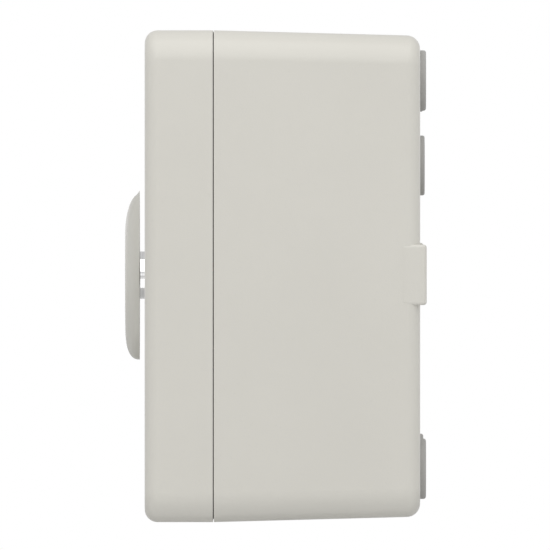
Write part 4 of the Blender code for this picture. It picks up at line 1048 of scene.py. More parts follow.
def makeEndPlates():
    form = {
        "ease": 0.0008, "pocket": 0.0014, "ribs": 5, "rim": 0.006, "rib": 0.002,
        "rows": ((-0.149, -0.1405), (-0.1235, -0.0925), (-0.0755, -0.066)),
    }
    for name in ("left", "right"):
        low, high = cornersOf(f"cell_end_plate_{name}")
        side = -1 if name == "left" else 1
        bm = bmesh.new()
        easedBox(bm, low, high, form["ease"], 2)
        made = newObject(f"endPlate{name.title()}", bm)
        outer = low.x if side < 0 else high.x
        near, far = sorted((outer - side * form["pocket"], outer + side * 0.002))
        bm = bmesh.new()
        wide = (high.y - low.y - 2 * form["rim"]) / form["ribs"]
        for k in range(form["ribs"]):
            y = low.y + form["rim"] + k * wide
            for z0, z1 in form["rows"]:
                boxInto(bm, (near, y + form["rib"], z0), (far, y + wide - form["rib"], z1))
        carve(made, bm)
        dress(made, sheetMetal, "root", [f"cell_end_plate_{name}"])


def makeStraps():
    form = {
        "thick": 0.0012, "corner": 0.0022,
        "sealX": 0.102, "seal": 0.014, "crimpStep": 0.0075, "crimp": 0.0012,
    }
    for name in ("lower", "upper"):
        low, high = cornersOf(f"module_strap_{name}")
        rings = []
        for step in (0.0, form["thick"]):
            bm = bmesh.new()
            past = 0.001 if step else 0.0
            boxInto(bm, (low.x + step, low.y + step, low.z - past),
                    (high.x - step, high.y - step, high.z + past))
            bevelEdges(bm, edgesAlong(bm.edges, "Z", 0.001), form["corner"] - step, 5)
            rings.append(bm)
        made = newObject(f"moduleStrap{name.title()}", rings[0])
        carve(made, rings[1])
        # crimped seal over the joint in the strap
        middle = (low.z + high.z) / 2
        half = (high.z - low.z) / 2
        seal = bmesh.new()
        easedBox(seal, (form["sealX"] - form["seal"], low.y - 0.0007, middle - half - 0.0004),
                 (form["sealX"] + form["seal"], low.y + 0.0002, middle + half + 0.0004), 0.0002, 1)
        for step in (-1, 0, 1):
            x = form["sealX"] + step * form["crimpStep"]
            easedBox(seal, (x - form["crimp"], low.y - 0.0010, middle - half),
                     (x + form["crimp"], low.y - 0.0004, middle + half), 0.0002, 1)
        dress(made, zincSteel, "root", [f"module_strap_{name}"])
        made = newObject(f"strapSeal{name.title()}", seal)
        dress(made, zincSteel, "root")


def makeTray():
    low, high = cornersOf("cell_tray")
    form = {
        "sheet": 0.002, "frontLip": -0.140, "backLip": -0.100, "bend": 0.0024,
        "slots": 8, "slotStart": -0.1386, "slotPitch": 0.0396, "slotHalf": 0.008,
        "slotLowZ": -0.1487, "slotHighZ": -0.1443,
    }
    sheet = form["sheet"]
    outline = [
        (low.y, low.z), (high.y, low.z), (high.y, form["backLip"]), (high.y - sheet, form["backLip"]),
        (high.y - sheet, low.z + sheet), (low.y + sheet, low.z + sheet), (low.y + sheet, form["frontLip"]),
        (low.y, form["frontLip"]),
    ]
    bm = bmesh.new()
    extrudeInto(bm, [(low.x, y, z) for y, z in outline], (high.x - low.x, 0.0, 0.0))
    folds = [e for e in edgesAlong(bm.edges, "X", 0.1) if abs(e.verts[0].co.z - low.z) < 1e-5]
    bevelEdges(bm, folds, form["bend"], 5)
    made = newObject("cellTray", bm)
    bm = bmesh.new()
    # slots pierced along the front lip
    for k in range(form["slots"]):
        x = form["slotStart"] + k * form["slotPitch"]
        slotInto(bm, (x - form["slotHalf"], low.y - 0.002, form["slotLowZ"]),
                 (x + form["slotHalf"], low.y + 0.004, form["slotHighZ"]))
    carve(made, bm)
    return dress(made, sheetMetal, "root", ["cell_tray"])


def makeLid():
    low, high = cornersOf("terminal_cover")
    form = {
        "wall": 0.0015, "ease": 0.0010, "window": 0.0096, "windowX": 0.1386, "windowY": -0.032,
        "rib": 0.0007, "ribs": 7, "ribStart": -0.1188, "ribPitch": 0.0396,
        "ribHalf": 0.0009, "crossHalf": 0.0008,
    }
    roof = high.z - form["rib"]
    bm = bmesh.new()
    easedBox(bm, low, (high.x, high.y, roof), form["ease"], 3)
    made = newObject("terminalLid", bm)
    bm = bmesh.new()
    boxInto(bm, (low.x + form["wall"], low.y + form["wall"], low.z - 0.003),
            (high.x - form["wall"], high.y - form["wall"], roof - 0.0009))
    carve(made, bm)
    bm = bmesh.new()
    half, cross = form["ribHalf"], form["crossHalf"]
    for k in range(form["ribs"]):
        x = form["ribStart"] + k * form["ribPitch"]
        easedBox(bm, (x - half, low.y + 0.004, roof - 0.0005), (x + half, high.y - 0.022, high.z), 0.0003, 1)
    for y in (low.y + 0.034, high.y - 0.038):
        easedBox(bm, (low.x + 0.004, y - cross, roof - 0.0005),
                 (high.x - 0.004, y + cross, high.z), 0.0003, 1)
    ribs = newObject("lidRibs", bm)
    dress(ribs, lidPlastic, "root")
    bm = bmesh.new()
    # windows over the two end posts, for the leads
    half, y = form["window"], form["windowY"]
    for x in (-form["windowX"], form["windowX"]):
        boxInto(bm, (x - half, y - half, roof - 0.004), (x + half, y + half, roof + 0.004))
    carve(made, bm)
    return dress(made, lidPlastic, "root", ["terminal_cover"])


makeCells()
makeBusbars()
makeEndPlates()
makeStraps()
makeTray()
makeLid()
print("cell pack made")


# chassis plate, boards and their parts

boards = {
    "inverter": {"x": -0.1075, "z": 0.0875, "backY": -0.058, "frontY": -0.0596},
    "bms": {"x": 0.1075, "z": 0.0875, "backY": -0.030, "frontY": -0.0316},
    "half": 0.0525,
    "inset": 0.005,
    "post": 0.003,
}


def boardCorners(board):
    reach = boards["half"] - boards["inset"]
    return [(board["x"] + sx * reach, board["z"] + sz * reach) for sx in (-1, 1) for sz in (-1, 1)]


def makeChassis():
    low, high = cornersOf("chassis_plate")
    form = {
        "frontY": -0.014, "entry": 0.016, "ease": 0.0030, "past": 0.002,
        "slots": 5, "slotX": 0.156, "slotStart": -0.020, "slotPitch": 0.010,
        "slotHalf": 0.006, "slotTall": 0.004,
    }
    front, past = form["frontY"], form["past"]
    bm = bmesh.new()
    boxInto(bm, (low.x, front, low.z), high)
    bevelEdges(bm, edgesAlong(bm.edges, "Y", 0.001), form["ease"], 5)
    made = newObject("chassisPlate", bm)
    bm = bmesh.new()
    cylinderInto(bm, "Y", (entryPlace[0], 0.0, entryPlace[1]), form["entry"], front - past, high.y + past, 48)
    for x in (-form["slotX"], form["slotX"]):
        for k in range(form["slots"]):
            z = form["slotStart"] + k * form["slotPitch"]
            slotInto(bm, (x - form["slotHalf"], front - past, z),
                     (x + form["slotHalf"], high.y + past, z + form["slotTall"]))
    carve(made, bm)
    bm = bmesh.new()
    for board in (boards["inverter"], boards["bms"]):
        for x, z in boardCorners(board):
            cylinderInto(bm, "Y", (x, 0.0, z), boards["post"], board["backY"] + gap, -0.0135, 24)
    carve(made, bm, "UNION")
    dress(made, sheetMetal, "root", ["chassis_plate"])
    bm = bmesh.new()
    for x, z in restPlaces:
        screwHeadInto(bm, (x, front - 0.0001, z), 0.0040, 0.0024)
    for x in (-0.030, 0.030):
        screwHeadInto(bm, (x, front - 0.0001, 0.090), 0.0032, 0.0018)
    made = newObject("chassisScrews", bm)
    return dress(made, zincSteel, "root")


def makeBoard(name, board, node):
    half = boards["half"]
    bm = bmesh.new()
    boxInto(bm, (board["x"] - half, board["frontY"], board["z"] - half),
            (board["x"] + half, board["backY"], board["z"] + half))
    bevelEdges(bm, edgesAlong(bm.edges, "Y", 0.001), 0.0025, 4)
    made = newObject(name, bm)
    dress(made, boardMask, "root", [node])
    bm = bmesh.new()
    for x, z in boardCorners(board):
        screwHeadInto(bm, (x, board["frontY"] - 0.0001, z), 0.0029, 0.0019)
    made = newObject(name + "Screws", bm)
    dress(made, zincSteel, "root")
    bm = bmesh.new()
    for x, z in boardCorners(board):
        ringInto(bm, (x, z), 0.0031, 0.0040, board["frontY"] - 0.00008, board["frontY"] + 0.0002, 28)
    made = newObject(name + "Lands", bm)
    return dress(made, tinnedMetal, "root")


def fitChips(name, board, chips):
    # packages with a row of legs down each long side; (x, z) from the board's centre
    bodies = bmesh.new()
    legs = bmesh.new()
    for x, z, wide, high, tall, count in chips:
        cx, cz, y = board["x"] + x, board["z"] + z, board["frontY"]
        easedBox(bodies, (cx - wide / 2, y - tall, cz - high / 2),
                 (cx + wide / 2, y - 0.0001, cz + high / 2), 0.00035, 1)
        for k in range(count):
            lz = cz - high / 2 + high * (k + 0.5) / count
            for side in (-1, 1):
                near, far = sorted((cx + side * wide / 2, cx + side * (wide / 2 + 0.0011)))
                boxInto(legs, (near, y - 0.0005, lz - 0.0002), (far, y - 0.00005, lz + 0.0002))
    dress(newObject(name + "Chips", bodies), chipEpoxy, "root")
    dress(newObject(name + "Legs", legs), tinnedMetal, "root")


def fitSmall(name, board, areas, seed, taken):
    # rows of two-ended chip parts, body between two tinned ends, clear of what stands on the board already
    form = {"stepX": 0.0052, "stepZ": 0.0048, "share": 0.72, "end": 0.00045, "over": 0.0001}
    end, over = form["end"], form["over"]
    sizes = ((0.0010, 0.0005, 0.0006), (0.0016, 0.0008, 0.0009))
    pick = random.Random(seed)
    bodies = bmesh.new()
    ends = bmesh.new()
    y = board["frontY"]
    for x0, z0, x1, z1 in areas:
        x = x0
        while x < x1:
            z = z0
            while z < z1:
                clear = all(abs(x - ox) > wide / 2 + 0.0035 or abs(z - oz) > high / 2 + 0.0030
                            for ox, oz, wide, high in taken)
                if pick.random() < form["share"] and clear:
                    cx, cz = board["x"] + x, board["z"] + z
                    lay = pick.random() < 0.5
                    long, wide, tall = pick.choice(sizes)
                    hx, hz = (long, wide) if lay else (wide, long)
                    boxInto(bodies, (cx - hx, y - tall, cz - hz), (cx + hx, y - 0.00005, cz + hz))
                    for side in (-1, 1):
                        mx, mz = (cx + side * hx, cz) if lay else (cx, cz + side * hz)
                        ex, ez = (end, hz + over) if lay else (hx + over, end)
                        boxInto(ends, (mx - ex, y - tall - 0.00005, mz - ez), (mx + ex, y - 0.00004, mz + ez))
                z += form["stepZ"]
            x += form["stepX"]
    dress(newObject(name + "SmallParts", bodies), chipCeramic, "root")
    dress(newObject(name + "SmallEnds", ends), tinnedMetal, "root")


def fitPlugs(name, board, plugs):
    # white wire-to-board headers, open at the front, with their pins
    form = {"wall": 0.0009, "ease": 0.0004, "floor": 0.0016, "pin": 0.0003, "inset": 0.0012, "foot": 0.0010}
    wall, pin = form["wall"], form["pin"]
    shells = bmesh.new()
    pins = bmesh.new()
    holes = bmesh.new()
    y = board["frontY"]
    for x, z, wide, high, tall, count, across in plugs:
        cx, cz = board["x"] + x, board["z"] + z
        easedBox(shells, (cx - wide / 2, y - tall, cz - high / 2),
                 (cx + wide / 2, y - 0.0001, cz + high / 2), form["ease"], 2)
        boxInto(holes, (cx - wide / 2 + wall, y - tall - 0.002, cz - high / 2 + wall),
                (cx + wide / 2 - wall, y - form["floor"], cz + high / 2 - wall))
        for k in range(count):
            step = (k + 0.5) / count - 0.5
            px = cx + step * (wide - 0.002) if across else cx
            pz = cz if across else cz + step * (high - 0.002)
            boxInto(pins, (px - pin, y - tall + form["inset"], pz - pin),
                    (px + pin, y - form["foot"], pz + pin))
    made = newObject(name + "Headers", shells)
    carve(made, holes)
    dress(made, whiteNylon, "root")
    dress(newObject(name + "Pins", pins), tinnedMetal, "root")


def standing(board, names):
    # (x, z, width, height) of larger parts on a board, from its centre
    found = []
    for name in names:
        low, high = cornersOf(name)
        x, y, z = middleOf(low, high)
        found.append((x - board["x"], z - board["z"], high.x - low.x, high.z - low.z))
    return found


def makeBoards():
    makeBoard("inverterBoard", boards["inverter"], "inverter_board")
    makeBoard("bmsBoard", boards["bms"], "bms_board")
    inverterChips = [
        (0.033, 0.026, 0.0100, 0.0100, 0.0016, 12),
        (0.036, 0.010, 0.0040, 0.0050, 0.0015, 4),
        (0.024, 0.012, 0.0060, 0.0075, 0.0020, 5),
        (-0.020, -0.0475, 0.0075, 0.0040, 0.0015, 3),
        (0.008, -0.0475, 0.0090, 0.0040, 0.0018, 4),
    ]
    bmsChips = [
        (0.026, 0.004, 0.0120, 0.0120, 0.0016, 16),
        (0.010, 0.006, 0.0060, 0.0090, 0.0018, 8),
        (0.012, -0.010, 0.0050, 0.0060, 0.0016, 4),
        (-0.044, 0.022, 0.0050, 0.0060, 0.0016, 4),
        (0.018, 0.0235, 0.0070, 0.0060, 0.0020, 5),
    ]
    fitChips("inverter", boards["inverter"], inverterChips)
    fitChips("bms", boards["bms"], bmsChips)
    taken = [chip[:4] for chip in inverterChips] + standing(
        boards["inverter"], ["bulk_capacitor_1", "bulk_capacitor_2", "transformer_core", "output_choke"])
    fitSmall("inverter", boards["inverter"], [
        (0.018, 0.034, 0.048, 0.040), (0.016, 0.002, 0.046, 0.006), (-0.036, -0.050, 0.036, -0.045)],
        11, taken)
    taken = [chip[:4] for chip in bmsChips] + standing(
        boards["bms"], ["main_relay", "fuse_holder", "bms_heat_sink"])
    fitSmall("bms", boards["bms"], [
        (0.004, 0.014, 0.034, 0.019), (0.020, -0.010, 0.036, -0.004), (-0.036, -0.050, 0.010, -0.044),
        (-0.040, 0.0205, 0.000, 0.0275)], 12, taken)
    fitPlugs("inverter", boards["inverter"], [(0.030, 0.0465, 0.022, 0.0060, 0.0080, 8, True)])
    fitPlugs("bms", boards["bms"], [
        (0.0470, 0.010, 0.0060, 0.030, 0.0080, 10, False),
        (0.0000, 0.0480, 0.0300, 0.0056, 0.0080, 10, True),
    ])


def makeHeatSinks():
    low, high = cornersOf("inverter_heat_sink")
    form = {"base": 0.005, "fins": 15, "thick": 0.0016, "ease": 0.0005, "finEase": 0.0004, "inset": 0.001}
    base, inset = high.y - form["base"], form["inset"]
    bm = bmesh.new()
    easedBox(bm, (low.x, base, low.z), high, form["ease"], 2)
    span = high.x - low.x - form["thick"]
    for k in range(form["fins"]):
        x = low.x + span * k / (form["fins"] - 1)
        easedBox(bm, (x, low.y, low.z + inset), (x + form["thick"], base + 0.0005, high.z - inset),
                 form["finEase"], 2)
    made = newObject("inverterHeatSink", bm)
    dress(made, sheetMetal, "root", ["inverter_heat_sink"])
    makeFinnedBar()


def makeFinnedBar():
    low, high = cornersOf("bms_heat_sink")
    form = {
        "teeth": 4, "deep": 0.009,
        "parts": 4, "start": 0.013, "pitch": 0.018, "half": 0.0050, "ease": 0.0005,
    }
    outline = [(high.y, low.z), (high.y, high.z), (low.y, high.z)]
    steps = 2 * form["teeth"] - 1
    pitch = (high.z - low.z) / steps
    for k in range(steps):
        z = high.z - k * pitch
        y = low.y if k % 2 == 0 else low.y + form["deep"]
        outline += [(y, z), (y, z - pitch)] if k else [(y, z - pitch)]
    outline = [p for k, p in enumerate(outline) if k == 0 or p != outline[k - 1]]
    bm = bmesh.new()
    extrudeInto(bm, [(low.x, y, z) for y, z in outline], (high.x - low.x, 0.0, 0.0))
    made = newObject("bmsHeatSink", bm)
    dress(made, blackAnodised, "root", ["bms_heat_sink"])
    # power transistors clipped to the bar's upper side
    bodies = bmesh.new()
    half = form["half"]
    for k in range(form["parts"]):
        x = low.x + form["start"] + k * form["pitch"]
        easedBox(bodies, (x - half, low.y + 0.003, low.z - 0.0050), (x + half, high.y - 0.002, low.z - gap),
                 form["ease"], 2)
    made = newObject("bmsTransistors", bodies)
    return dress(made, chipEpoxy, "root")


def makeCapacitors():
    form = {
        "ease": 0.0016, "grooveY": 0.0075, "lip": 0.0040, "lipEase": 0.0006,
        "groove": ((0.0, 0.0), (0.0010, 0.0006), (0.0018, 0.0010), (0.0026, 0.0006), (0.0036, 0.0)),
        "score": 0.0075, "scoreHalf": 0.0004, "scoreDeep": 0.0012,
    }
    ease, lip, lipEase = form["ease"], form["lip"], form["lipEase"]
    for number in (1, 2):
        low, high = cornersOf(f"bulk_capacitor_{number}")
        radius = (high.x - low.x) / 2
        x, y, z = middleOf(low, high)
        at = (x, 0.0, z)
        top, base = low.y, high.y
        bm = bmesh.new()
        profile = [
            (radius - lip, top + 0.0004), (radius - lip + lipEase, top),
            *arcPoints((radius - ease, top + ease), ease, -math.pi / 2, 4),
            *[(radius - sink, base - form["grooveY"] + step) for step, sink in form["groove"]],
            (radius, base - lipEase), (radius - lipEase, base), (radius - lip, base),
        ]
        spinInto(bm, profile, "Y", at, 56)
        made = newObject(f"bulkCapacitor{number}", bm)
        dress(made, capSleeve, "root", [f"bulk_capacitor_{number}"])
        bm = bmesh.new()
        spinInto(bm, [(0.0, top + 0.0007), (radius - 0.0041, top + 0.0007), (radius - 0.0041, base - 0.001),
                      (0.0, base - 0.001)], "Y", at, 40)
        made = newObject(f"capacitorCan{number}", bm)
        # pressure relief scores across the top of the can
        for turn in (0.0, tau / 6, tau / 3):
            bm = bmesh.new()
            cut = boxInto(bm, (-form["score"], top - 0.001, -form["scoreHalf"]),
                          (form["score"], top + form["scoreDeep"], form["scoreHalf"]))
            bmesh.ops.rotate(bm, verts=cut, cent=(0, 0, 0), matrix=Matrix.Rotation(turn, 3, "Y"))
            bmesh.ops.translate(bm, verts=cut, vec=at)
            carve(made, bm)
        dress(made, sheetMetal, "root")


def makeMagnetics():
    low, high = cornersOf("transformer_core")
    form = {"ease": 0.0009, "wall": 0.006, "backWall": 0.004}
    bm = bmesh.new()
    easedBox(bm, low, high, form["ease"], 2)
    made = newObject("transformerCore", bm)
    bm = bmesh.new()
    boxInto(bm, (low.x + form["wall"], low.y + form["wall"], low.z - 0.01),
            (high.x - form["wall"], high.y - form["backWall"], high.z + 0.01))
    # joint between the two core halves
    boxInto(bm, (low.x - 0.001, low.y - 0.001, (low.z + high.z) / 2 - 0.0002),
            (high.x + 0.001, low.y + 0.0003, (low.z + high.z) / 2 + 0.0002))
    carve(made, bm)
    dress(made, ferriteBody, "root", ["transformer_core"])
    low, high = cornersOf("transformer_winding")
    bm = bmesh.new()
    turns = 18
    wire = (high.z - low.z) / turns
    for k in range(turns):
        z = low.z + wire * k
        ring = boxInto(bm, (low.x, low.y, z + wire * 0.04), (high.x, high.y, z + wire * 0.96))
        rounded = bevelEdges(bm, edgesAlong(edgesOf(ring), "Z", 1e-4), 0.004, 4)
        rim = {e for f in rounded["faces"] for v in f.verts for e in v.link_edges
               if abs(e.verts[0].co.z - e.verts[1].co.z) < 1e-6}
        bevelEdges(bm, list(rim), wire * 0.3, 2)
    made = newObject("transformerWinding", bm)
    dress(made, enamelledWire, "root", ["transformer_winding"])
    makeChoke()


def makeChoke():
    low, high = cornersOf("output_choke")
    form = {"major": 0.0140, "minor": 0.0062, "wire": 0.00085, "turns": 30, "ring": 0.0066}
    at = Vector(middleOf(low, high))
    bm = bmesh.new()
    profile = [
        (form["major"] + form["minor"] * math.cos(tau * k / 16), form["minor"] * math.sin(tau * k / 16))
        for k in range(16)
    ]
    spinInto(bm, profile, "Y", at, 64)
    made = newObject("chokeCore", bm)
    dress(made, ferriteBody, "root", ["output_choke"])
    bm = bmesh.new()
    for k in range(form["turns"]):
        turn = tau * (k + 0.5) / form["turns"] * 0.93 + 0.2
        loop = []
        for j in range(14):
            a = tau * j / 14
            out = form["major"] + form["ring"] * math.cos(a)
            loop.append(at + Vector((out * math.sin(turn), form["ring"] * math.sin(a), out * math.cos(turn))))
        tubeInto(bm, loop, form["wire"], 6, closed=True)
    made = newObject("chokeWinding", bm)
    return dress(made, enamelledWire, "root")


def makeRelay():
    low, high = cornersOf("main_relay")
    form = {"ease": 0.0012, "skirt": 0.0003, "past": 0.001}
    skirt, past = form["skirt"], form["past"]
    bm = bmesh.new()
    easedBox(bm, low, high, form["ease"], 3)
    made = newObject("mainRelay", bm)
    bm = bmesh.new()
    seam = high.y - 0.005
    outLow, outHigh = (low.x - past, low.z - past), (high.x + past, high.z + past)
    for a, b in ((outLow, (outHigh[0], low.z + skirt)), ((outLow[0], high.z - skirt), outHigh),
                 (outLow, (low.x + skirt, outHigh[1])), ((high.x - skirt, outLow[1]), outHigh)):
        boxInto(bm, (a[0], seam, a[1]), (b[0], seam + 0.0005, b[1]))
    # recessed panel on the front
    easedBox(bm, (low.x + 0.004, low.y - 0.002, low.z + 0.0035),
             (high.x - 0.004, low.y + 0.0003, high.z - 0.0035), 0.0002, 1)
    carve(made, bm)
    dress(made, blackPlastic, "root", ["main_relay"])


def makeFuse():
    low, high = cornersOf("fuse_holder")
    bm = bmesh.new()
    easedBox(bm, low, high, 0.0008, 2)
    made = newObject("fuseHolder", bm)
    bm = bmesh.new()
    boxInto(bm, (low.x - 0.01, low.y - 0.004, low.z + 0.0015),
            (high.x + 0.01, high.y - 0.005, high.z - 0.0015))
    carve(made, bm)
    dress(made, blackPlastic, "root", ["fuse_holder"])
    low, high = cornersOf("main_fuse")
    form = {"cap": 0.0105, "capWall": 0.0005, "capEase": 0.0007}
    radius = (high.z - low.z) / 2
    cap, wall = form["cap"], form["capWall"]
    x, y, z = middleOf(low, high)
    at = (0.0, y, z)
    tube = radius - wall
    bm = bmesh.new()
    spinInto(bm, [
        (0.0, low.x + wall), (tube, low.x + wall), (tube, high.x - wall), (0.0, high.x - wall)], "X", at, 48)
    made = newObject("fuseTube", bm)
    dress(made, ceramicTube, "root", ["main_fuse"])
    bm = bmesh.new()
    for a, b in ((low.x, low.x + cap), (high.x - cap, high.x)):
        spinInto(bm, easedRod(radius, a, b, form["capEase"]), "X", at, 48)
    made = newObject("fuseCaps", bm)
    dress(made, tinnedMetal, "root")


def makeTerminalBlock():
    low, high = cornersOf("terminal_block")
    form = {"ease": 0.0008, "pitch": 0.0205, "well": 0.0045, "wellEnd": 0.012, "z": 0.116, "entry": 0.0052}
    bm = bmesh.new()
    easedBox(bm, low, high, form["ease"], 2)
    made = newObject("terminalBlock", bm)
    bm = bmesh.new()
    for step in (-1, 0, 1):
        x = step * form["pitch"]
        cylinderInto(bm, "Y", (x, 0.0, form["z"]), form["well"], low.y - 0.003, low.y + form["wellEnd"], 28)
        cylinderInto(bm, "Z", (x, low.y + 0.018, 0.0), form["entry"], low.z - 0.002, low.z + 0.010, 28)
    for x in (-form["pitch"] / 2, form["pitch"] / 2):
        boxInto(bm, (x - 0.0005, low.y - 0.002, low.z - 0.002), (x + 0.0005, low.y + 0.0016, high.z + 0.002))
    carve(made, bm)
    dress(made, blackPlastic, "root", ["terminal_block"])
    bm = bmesh.new()
    for step in (-1, 0, 1):
        screwHeadInto(bm, (step * form["pitch"], low.y + form["wellEnd"] - 0.0001, form["z"]), 0.0041, 0.0040)
    made = newObject("terminalScrews", bm)
    return dress(made, brassMetal, "root")


makeChassis()
makeBoards()
makeHeatSinks()
makeCapacitors()
makeMagnetics()
makeRelay()
makeFuse()
makeTerminalBlock()
print("electronics made")


# the three heavy leads, held at both ends

def makeLeads():
    boardX, fuseY, fuseZ, cellY, start = 0.1075, -0.0447, 0.0575, -0.032, -0.0564
    right, switchY, half = 0.1386, -0.144, 0.023
    fuseX = boardX + 0.0225
    routes = {
        "positive": {
            "paint": redSheath, "slot": "red_cable", "points": [
                (right, cellY, start), (right, cellY, start + 0.020),
                (right + 0.006, cellY - 0.002, 0.0),
                (right + 0.012, cellY - 0.008, 0.034), (right + 0.010, fuseY - 0.002, fuseZ - 0.008),
                (fuseX + 0.008, fuseY, fuseZ), (fuseX - 0.0032, fuseY, fuseZ)]},
        "isolator": {
            "paint": redSheath, "slot": "red_cable", "points": [
                (boardX - 0.0293, fuseY, fuseZ), (boardX - 0.0360, fuseY - 0.0015, fuseZ),
                (boardX - 0.0480, fuseY - 0.022, fuseZ - 0.008),
                (boardX - 0.0560, fuseY - 0.060, fuseZ - 0.036),
                (half + 0.020, switchY + 0.008, 0.006), (half + 0.010, switchY, 0.006),
                (half + 0.005, switchY, 0.006), (half + gap, switchY, 0.006)]},
        "negative": {
            "paint": blackSheath, "slot": "black_cable", "points": [
                (-right, cellY, start), (-right, cellY, start + 0.018),
                (-right + 0.012, cellY - 0.010, -0.010), (-right + 0.050, switchY + 0.040, 0.008),
                (-half - 0.020, switchY + 0.008, 0.006), (-half - 0.010, switchY, 0.006),
                (-half - 0.005, switchY, 0.006), (-half - gap, switchY, 0.006)]},
    }
    for name, route in routes.items():
        path = smoothPath([Vector(p) for p in route["points"]], 8)
        bm = bmesh.new()
        tubeInto(bm, path, 0.0029, 16)
        made = newObject(name + "Lead", bm)
        dress(made, route["paint"], "root", [name + "_lead"], angle=50.0)


def smoothPath(points, steps):
    padded = [points[0] * 2 - points[1], *points, points[-1] * 2 - points[-2]]
    path = []
    for a, b, c, d in zip(padded, padded[1:], padded[2:], padded[3:]):
        for k in range(steps):
            t = k / steps
            path.append(0.5 * (
                2 * b + (c - a) * t + (2 * a - 5 * b + 4 * c - d) * t ** 2
                + (3 * b - a - 3 * c + d) * t ** 3))
    path.append(points[-1])
    return path


makeLeads()
print("leads made")


# small parts: screws, nut, vent

def makeCoverScrews():
    form = {
        "radius": 0.0025, "head": 0.0042, "headTall": 0.005, "ease": 0.0006, "plain": 0.016,
        "pitch": 0.0008, "thread": 0.0004, "drive": 0.0023, "driveDeep": 0.0026,
    }
    for number, (x, z) in enumerate(screwPlaces, 1):
        low, high = cornersOf(f"cover_screw_{number}")
        head, seat, end = low.y, low.y + form["headTall"], high.y
        radius, cap, ease = form["radius"], form["head"], form["ease"]
        bm = bmesh.new()
        profile = [(0.0, head), (cap - ease, head), (cap, head + ease), (cap, seat), (radius, seat)]
        y = seat + form["plain"]
        profile.append((radius, y))
        while y < end - 2 * form["pitch"]:
            profile += [(radius - form["thread"], y + form["pitch"] / 2), (radius, y + form["pitch"])]
            y += form["pitch"]
        profile += [(radius - ease, end), (0.0, end)]
        spinInto(bm, profile, "Y", (x, 0.0, z), 28)
        made = newObject(f"coverScrew{number}", bm)
        bm = bmesh.new()
        cylinderInto(bm, "Y", (x, 0.0, z), form["drive"], head - 0.001, head + form["driveDeep"], 6)
        carve(made, bm)
        dress(made, zincSteel, "cover", [f"cover_screw_{number}"])


def makeNut():
    low, high = cornersOf("collar_nut")
    form = {"radius": high.x, "bore": 0.0098, "chamferTall": 0.0009, "chamferAt": 0.90}
    outer, inner, tall = form["radius"] + 0.0004, form["radius"] * form["chamferAt"], form["chamferTall"]
    bm = bmesh.new()
    cylinderInto(bm, "Y", (0.0, 0.0, 0.0), form["radius"], low.y, high.y, 6, turn=math.pi / 2)
    made = newObject("collarNut", bm)
    keep = bmesh.new()
    spinInto(keep, [
        (0.0, low.y), (inner, low.y), (outer, low.y + tall), (outer, high.y - tall), (inner, high.y),
        (0.0, high.y)], "Y", (0, 0, 0), 64)
    carve(made, keep, "INTERSECT")
    bm = bmesh.new()
    cylinderInto(bm, "Y", (0.0, 0.0, 0.0), form["bore"], low.y - 0.002, high.y + 0.002, 48)
    carve(made, bm)
    return dress(made, brassMetal, "cover", ["collar_nut"])


def makeVent():
    low, high = cornersOf("breather_vent")
    form = {
        "stem": 0.0044, "seatY": -0.0012, "ease": 0.0004,
        "slots": 6, "slotHalf": 0.0004, "slotDeep": 0.0006, "slotStart": 0.0022, "slotEnd": 0.0054,
    }
    stem, seat, ease, half = form["stem"], form["seatY"], form["ease"], form["slotHalf"]
    x, y, z = middleOf(low, high)
    at = (x, 0.0, z)
    radius = (high.x - low.x) / 2
    bm = bmesh.new()
    spinInto(bm, [
        (0.0, low.y), (stem, low.y), (stem, seat), (radius, seat), (radius, high.y - ease),
        (radius - ease, high.y), (0.0, high.y)], "Y", at, 48)
    made = newObject("breatherVent", bm)
    bm = bmesh.new()
    for k in range(form["slots"]):
        slot = boxInto(bm, (-half, high.y - form["slotDeep"], form["slotStart"]),
                       (half, high.y + 0.001, form["slotEnd"]))
        turn = Matrix.Rotation(tau * k / form["slots"], 3, "Y")
        bmesh.ops.rotate(bm, verts=slot, cent=(0, 0, 0), matrix=turn)
        bmesh.ops.translate(bm, verts=slot, vec=at)
    carve(made, bm)
    return dress(made, blackPlastic, "root", ["breather_vent"])


makeCoverScrews()
makeNut()
makeVent()
print("small parts made")


# CAD nodes that stay, each with its own finish

keptFinishes = {"handle_clip": zincSteel, "handle_seal": sealRubber}
for name, finish in keptFinishes.items():
    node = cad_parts[name]
    for placed in node.material_slots:
        placed.material = finish


# stage, light and camera

studio = {
    "sky": 0.62, "ground": 0.7, "keyLift": 50.0, "keyTurn": 3.0, "keyAway": 2.6, "keySize": 3.4,
    "keyPower": 39.0, "keyColour": (1.0, 0.995, 0.98), "floorLight": 0.70, "floorDark": 0.67,
    "card": {"x": 0.55, "y": -0.09, "z": -0.295, "size": 0.80, "power": 1.2},
}


def makeStage():
    stage = {"z": -0.30, "half": 6.0}
    bm = bmesh.new()
    place = Matrix.Translation((0.0, 0.0, stage["z"]))
    bmesh.ops.create_grid(bm, x_segments=1, y_segments=1, size=stage["half"], matrix=place)
    floor = newObject("paleFloor", bm)
    made, nodes, links, shader = newMaterial("floorPaint")
    cloud = noiseNode(nodes, 0.8, 3.0, 0.5)
    links.new(objectCoords(nodes), cloud.inputs["Vector"])
    tone = ranged(nodes, links, cloud.outputs["Fac"], 0.3, 0.7, 0.0, 1.0)
    grey = mixColours(nodes, links, tone, (studio["floorDark"],) * 3, (studio["floorLight"],) * 3)
    links.new(grey, shader.inputs["Base Color"])
    shader.inputs["Roughness"].default_value = 0.9
    floor.data.materials.append(made)


def areaLight(name, place, target, size, power, colour):
    data = bpy.data.lights.new(name, "AREA")
    data.shape = "SQUARE"
    data.size = size
    data.energy = power
    data.color = colour
    lamp = bpy.data.objects.new(name, data)
    bpy.context.scene.collection.objects.link(lamp)
    lamp.location = place
    lamp.rotation_euler = (Vector(target) - Vector(place)).to_track_quat("-Z", "Y").to_euler()
    return lamp


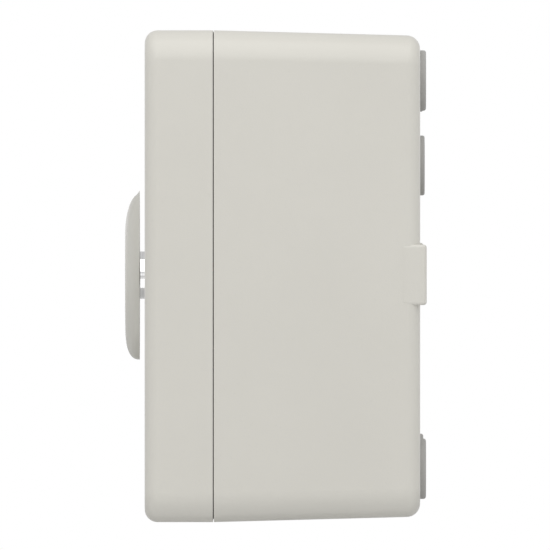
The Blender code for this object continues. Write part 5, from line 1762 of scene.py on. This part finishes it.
def makeLight():
    # white at eye level, a little weaker overhead and weaker again from below
    world = bpy.data.worlds.new("studioAir")
    world.use_nodes = True
    nodes, links = world.node_tree.nodes, world.node_tree.links
    split = nodes.new("ShaderNodeSeparateXYZ")
    links.new(nodes.new("ShaderNodeTexCoord").outputs["Generated"], split.inputs[0])
    above = rangeNode(nodes, 0.06, 0.30, 1.0, studio["sky"])
    below = rangeNode(nodes, -0.30, -0.06, studio["ground"], 1.0)
    for node in (above, below):
        links.new(split.outputs["Z"], node.inputs["Value"])
    both = mathNode(nodes, "MULTIPLY")
    links.new(above.outputs["Result"], both.inputs[0])
    links.new(below.outputs["Result"], both.inputs[1])
    links.new(both.outputs[0], nodes["Background"].inputs["Strength"])
    nodes["Background"].inputs["Color"].default_value = (1.0, 1.0, 1.0, 1.0)
    bpy.context.scene.world = world
    lift = math.radians(studio["keyLift"])
    turn = math.radians(studio["keyTurn"])
    away = Vector((math.cos(lift) * math.cos(turn), -math.cos(lift) * math.sin(turn), math.sin(lift)))
    areaLight("keySoft", away * studio["keyAway"], (0, -0.09, 0), studio["keySize"], studio["keyPower"],
              studio["keyColour"])
    # a white card low on the near side, facing up, seen only in polished metal and gloss
    form = studio["card"]
    card = areaLight("lowCard", (form["x"], form["y"], form["z"]), (form["x"], form["y"], 1.0),
                     form["size"], form["power"], (1.0, 1.0, 1.0))
    card.visible_diffuse = False
    card.visible_camera = False


def makeCamera():
    view = {
        "width": 0.363, "distance": 16.5, "elevation": math.radians(0.25), "sensor": 36.0,
        "aimY": -0.0959, "aimZ": 0.0009,
    }
    nearX = cadBox[1][0]
    centre = Vector((nearX, view["aimY"], view["aimZ"]))
    data = bpy.data.cameras.new("sideCamera")
    data.sensor_width = view["sensor"]
    data.lens = view["sensor"] * view["distance"] / view["width"]
    data.clip_end = 400.0
    camera = bpy.data.objects.new("sideCamera", data)
    bpy.context.scene.collection.objects.link(camera)
    lift = view["elevation"]
    camera.location = centre + Vector((math.cos(lift), 0.0, math.sin(lift))) * view["distance"]
    camera.rotation_euler = (centre - camera.location).to_track_quat("-Z", "Y").to_euler()
    bpy.context.scene.camera = camera
    bpy.context.scene.view_settings.view_transform = "Standard"


makeStage()
makeLight()
makeCamera()
